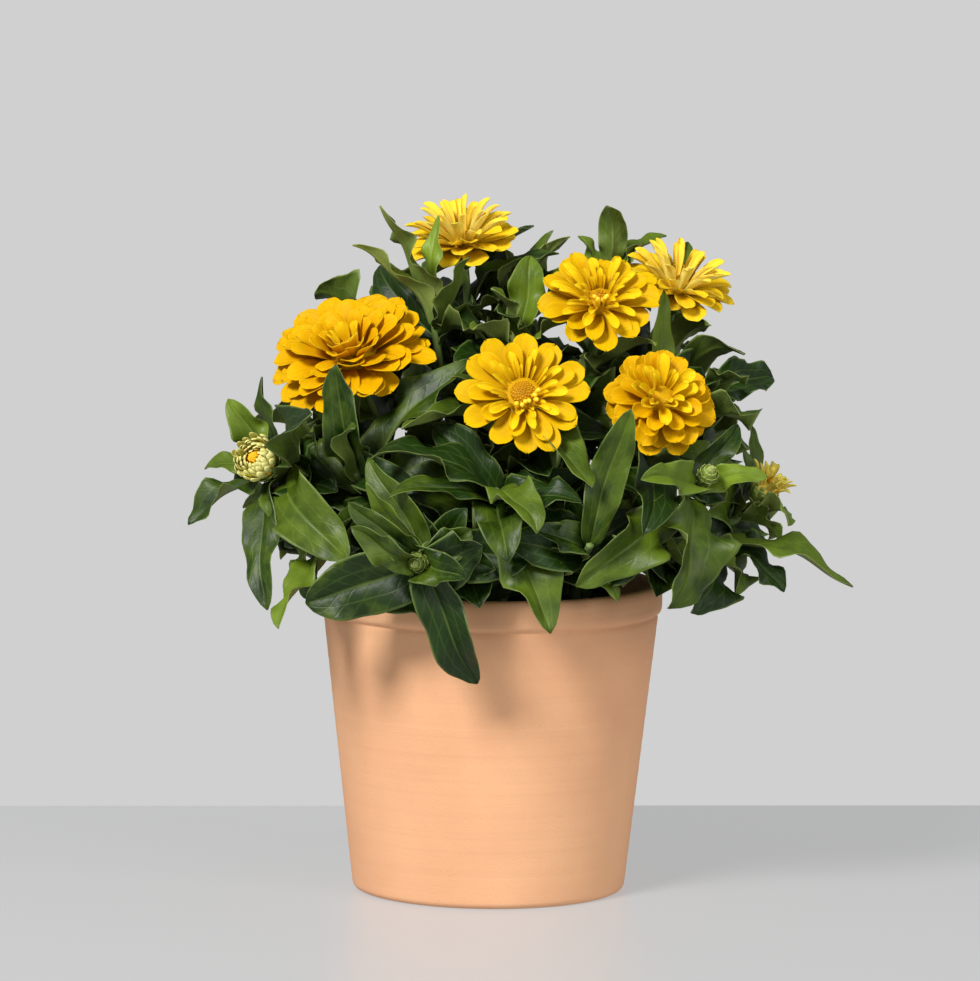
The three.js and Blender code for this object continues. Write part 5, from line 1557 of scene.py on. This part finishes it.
disc_material, tree, shader = new_material("disc_florets", roughness=0.6)
patches, grains = add_mottle(tree, patches=900.0, grains=4000.0, contrast=2.5)
floret_colour = mixed_colour(tree, tone_of(tree), (0.26, 0.090, 0.002, 1), (0.82, 0.470, 0.008, 1))
patch_share = calculate(tree, "MULTIPLY", patches, 0.3)
floret_colour = mixed_colour(tree, patch_share, floret_colour, (0.56, 0.300, 0.004, 1))
tree.links.new(floret_colour, shader.inputs["Base Color"])
shader.inputs["Specular IOR Level"].default_value = 0.1
add_bump(tree, shader, grains, strength=0.3, depth_mm=0.1)
club_material, tree, shader = new_material("club_florets", roughness=0.55)
patches, grains = add_mottle(tree, patches=600.0, grains=3000.0, contrast=1.5)
club_colour = mixed_colour(tree, patches, (0.93, 0.56, 0.012, 1), (0.97, 0.68, 0.030, 1))
tree.links.new(club_colour, shader.inputs["Base Color"])
add_bump(tree, shader, grains, strength=0.3, depth_mm=0.1)


def disc_dome(radius, height, foot):
    """The low dome that the florets stand on."""
    profile = [[0, foot - 1], [radius * 0.92, foot - 1], [radius * 0.94, foot]]
    profile += [[radius * 0.82, foot + 0.36 * height], [radius * 0.5, foot + 0.66 * height]]
    profile += [[radius * 0.2, foot + 0.78 * height], [0, foot + 0.8 * height]]
    dome = turned_part(profile, 24)
    dome["tone"] = 0.15
    return dome


def disc_floret(i, count, radius, height, foot):
    """One tiny closed floret at its place in the spiral, the outer ones leaning outwards."""
    away = radius * math.sqrt((i + 0.5) / count)
    slope = away / radius
    out = out_at(i * GOLDEN_TURN)
    root = out * away * 0.94 + UP * (foot + 0.78 * height * (1 - slope**2.2))
    along = unit(out * slope * 0.8 + UP)
    tall = 0.9 * draw(0.8, 1.2) * (1.1 - 0.3 * slope)
    floret = straight_tube(root, along, FLORET_SHARES * tall, 0.5 * FLORET_PITCH * FLORET_SWELL, 6)
    floret["tone"] = 0.25 + 0.55 * slope + draw(-0.15, 0.15)
    return floret


def club_floret(i, radius, height, foot):
    """One young ray floret, rolled up and swollen towards its end, on the disc's lower side."""
    out = out_at((CLUB_FIRST_TURN + CLUB_STEP_TURN * i + draw(-8, 8)) * DEGREE)
    root = out * radius * draw(0.6, 0.95) + UP * (foot + 0.3 * height)
    along = unit(0.6 * out + np.array([0.15 * draw(-1, 1), 0.15 * draw(-1, 1), 1.0]))
    club = straight_tube(root, along, CLUB_SHARES * draw(*CLUB_LENGTHS), CLUB_RADII, 10)
    club["skins"] = CLUB_SKIN
    return club


for plan in growth:
    end, stem = plan["end"], plan["stem"]
    if end not in DISC_SIZES:
        continue
    radius, height = DISC_SIZES[end]
    foot = BLOOM_CORES[end][2] + 0.3
    count = int((radius / FLORET_PITCH) ** 2)
    parts = [disc_dome(radius, height, foot)]
    parts += [disc_floret(i, count, radius, height, foot) for i in range(count)]
    parts += [club_floret(i, radius, height, foot) for i in range(CLUBS.get(end, 0))]
    name = "disc_of_" + plan["name"]
    mesh = make_mesh(name, [placed_on(stem, part) for part in parts], [disc_material, club_material])
    place_piece(name, mesh, "disc", "disc_" + plan["name"])


# Calyxes and closed buds: green cups and eggs covered with overlapping rounded scales, each with a
# thin paler edge. They grow on the end of the stem and hold the petals.

SCALE_GRID_ROWS = 8
SCALE_REACHES = np.array([-1, -0.75, -0.4, 0, 0.4, 0.75, 1])
SCALE_FACES, SCALE_SKINS = sheet_faces(SCALE_GRID_ROWS, len(SCALE_REACHES))
BUD_OUTLINE = [[0.8, -4.4], [2.8, -2.8], [4.1, 0], [4.3, 2], [3.6, 4.3], [2.2, 6.1], [0.9, 7]]
CUP_BASE = -3.3
SCALE_WIDTH_SHARE = 0.86
SCALE_SPACING = 0.62


def scale_part(root, along, up, length, width, inward):
    """One scale, lying close on the cup with its rounded end free."""
    blade = make_blade(root, root + along * length, up, width, 0.1, 0.12 - inward, 0, 24, 0, 0)
    spaced = np.linspace(0, 1, SCALE_GRID_ROWS) ** 0.8
    share, reach = np.meshgrid(spaced, SCALE_REACHES, indexing="ij")
    s, r = share.ravel(), reach.ravel()
    half = width / 2 * (0.75 + 0.25 * np.sin(np.pi * s)) * np.sqrt(np.maximum(0.02, 1 - s**3.2))
    middle, side, normal = blade_frames(blade, s)
    points = middle + side * (r * half)[:, None] - normal * (0.28 * half * r**2)[:, None]
    thick = 0.14 + 0.3 * (1 - r**2) * (1 - 0.6 * s)
    upper = points + normal * thick[:, None]
    return sheet_part(upper, points, share, reach, draw(0.2, 0.8), SCALE_FACES, SCALE_SKINS)


def calyx_cup(end):
    """The outline of the cup under a bloom, from the stem up to its rim."""
    wide = BLOOM_CORES[end][0] - 0.6
    deep = CUP_DEPTH_SHARE * BLOOM_CORES[end][0] + 2
    outline = [
        [1.8, CUP_BASE - deep], [3.2, CUP_BASE - 0.85 * deep], [wide * 0.72, CUP_BASE - 0.55 * deep],
        [wide * 0.93, CUP_BASE - 0.2 * deep], [wide * 0.97, -2.9], [wide * 0.98, -1.6],
    ]
    return outline, 0.5 * deep + 2.2


def scale_rows(stem, outline, rows, topped, size, inward):
    """Rows of scales up the outline of a cup or bud, each row set between the scales under it."""
    steps = np.concatenate([[0], np.cumsum(np.linalg.norm(np.diff(outline, axis=0), axis=1))])

    def outline_at(span):
        return np.array([np.interp(span, steps, outline[:, 0]), np.interp(span, steps, outline[:, 1])])

    scales = []
    for row in range(rows):
        span = steps[-1] * (row + 0.2) / (rows + topped)
        radius, height = outline_at(span)
        lead = unit(outline_at(min(span + 1.2, steps[-1])) - outline_at(span))
        count = max(5, round(2 * math.pi * (radius + 0.6) / (SCALE_SPACING * size)))
        for k in range(count):
            out = out_at(2 * math.pi * (k + 0.5 * (row % 2) + draw(-0.08, 0.08)) / count)
            along = out * lead[0] + UP * lead[1]
            up = unit(out * lead[1] - UP * lead[0])
            root = out * (radius - 0.1) + UP * height
            width = size * SCALE_WIDTH_SHARE * draw(0.92, 1.08)
            scales.append(placed_on(stem, scale_part(root, along, up, size, width, inward)))
    return scales


scale_material, tree, shader = new_material("calyx_scales", roughness=0.55)
_, share, across = blade_axes(tree)
edge = calculate(tree, "MAXIMUM", calculate(tree, "MULTIPLY", reach_of(tree, across), 1.02), share)
green = mixed_colour(tree, tone_of(tree), (0.085, 0.140, 0.012, 1), (0.200, 0.280, 0.040, 1))
green = mixed_colour(tree, faded(tree, edge, 0.72, 0.98, 0.0, 0.8), green, (0.420, 0.480, 0.130, 1))
tree.links.new(green, shader.inputs["Base Color"])
_, grains = add_mottle(tree, patches=300.0, grains=2500.0, contrast=2.0)
add_bump(tree, shader, grains, strength=0.35, depth_mm=0.2)

for plan in growth:
    end, stem = plan["end"], plan["stem"]
    if end == "tuft":
        continue
    if end == "closed":
        outline, size = BUD_OUTLINE, 4.6
        rows, topped, inward = 7, 0.4, 0.22
    else:
        outline, size = calyx_cup(end)
        rows, topped, inward = 6, 0.9, 0.05
    body = turned_part([[0, outline[0][1]], *outline, [0, outline[-1][1]]], 28)
    scales = scale_rows(stem, np.array(outline), rows, topped, size, inward)
    name = "calyx_" + plan["name"]
    mesh = make_mesh(name, [placed_on(stem, body), *scales], [scale_material])
    place_piece(name, mesh, "leaf", "stem_" + plan["name"])
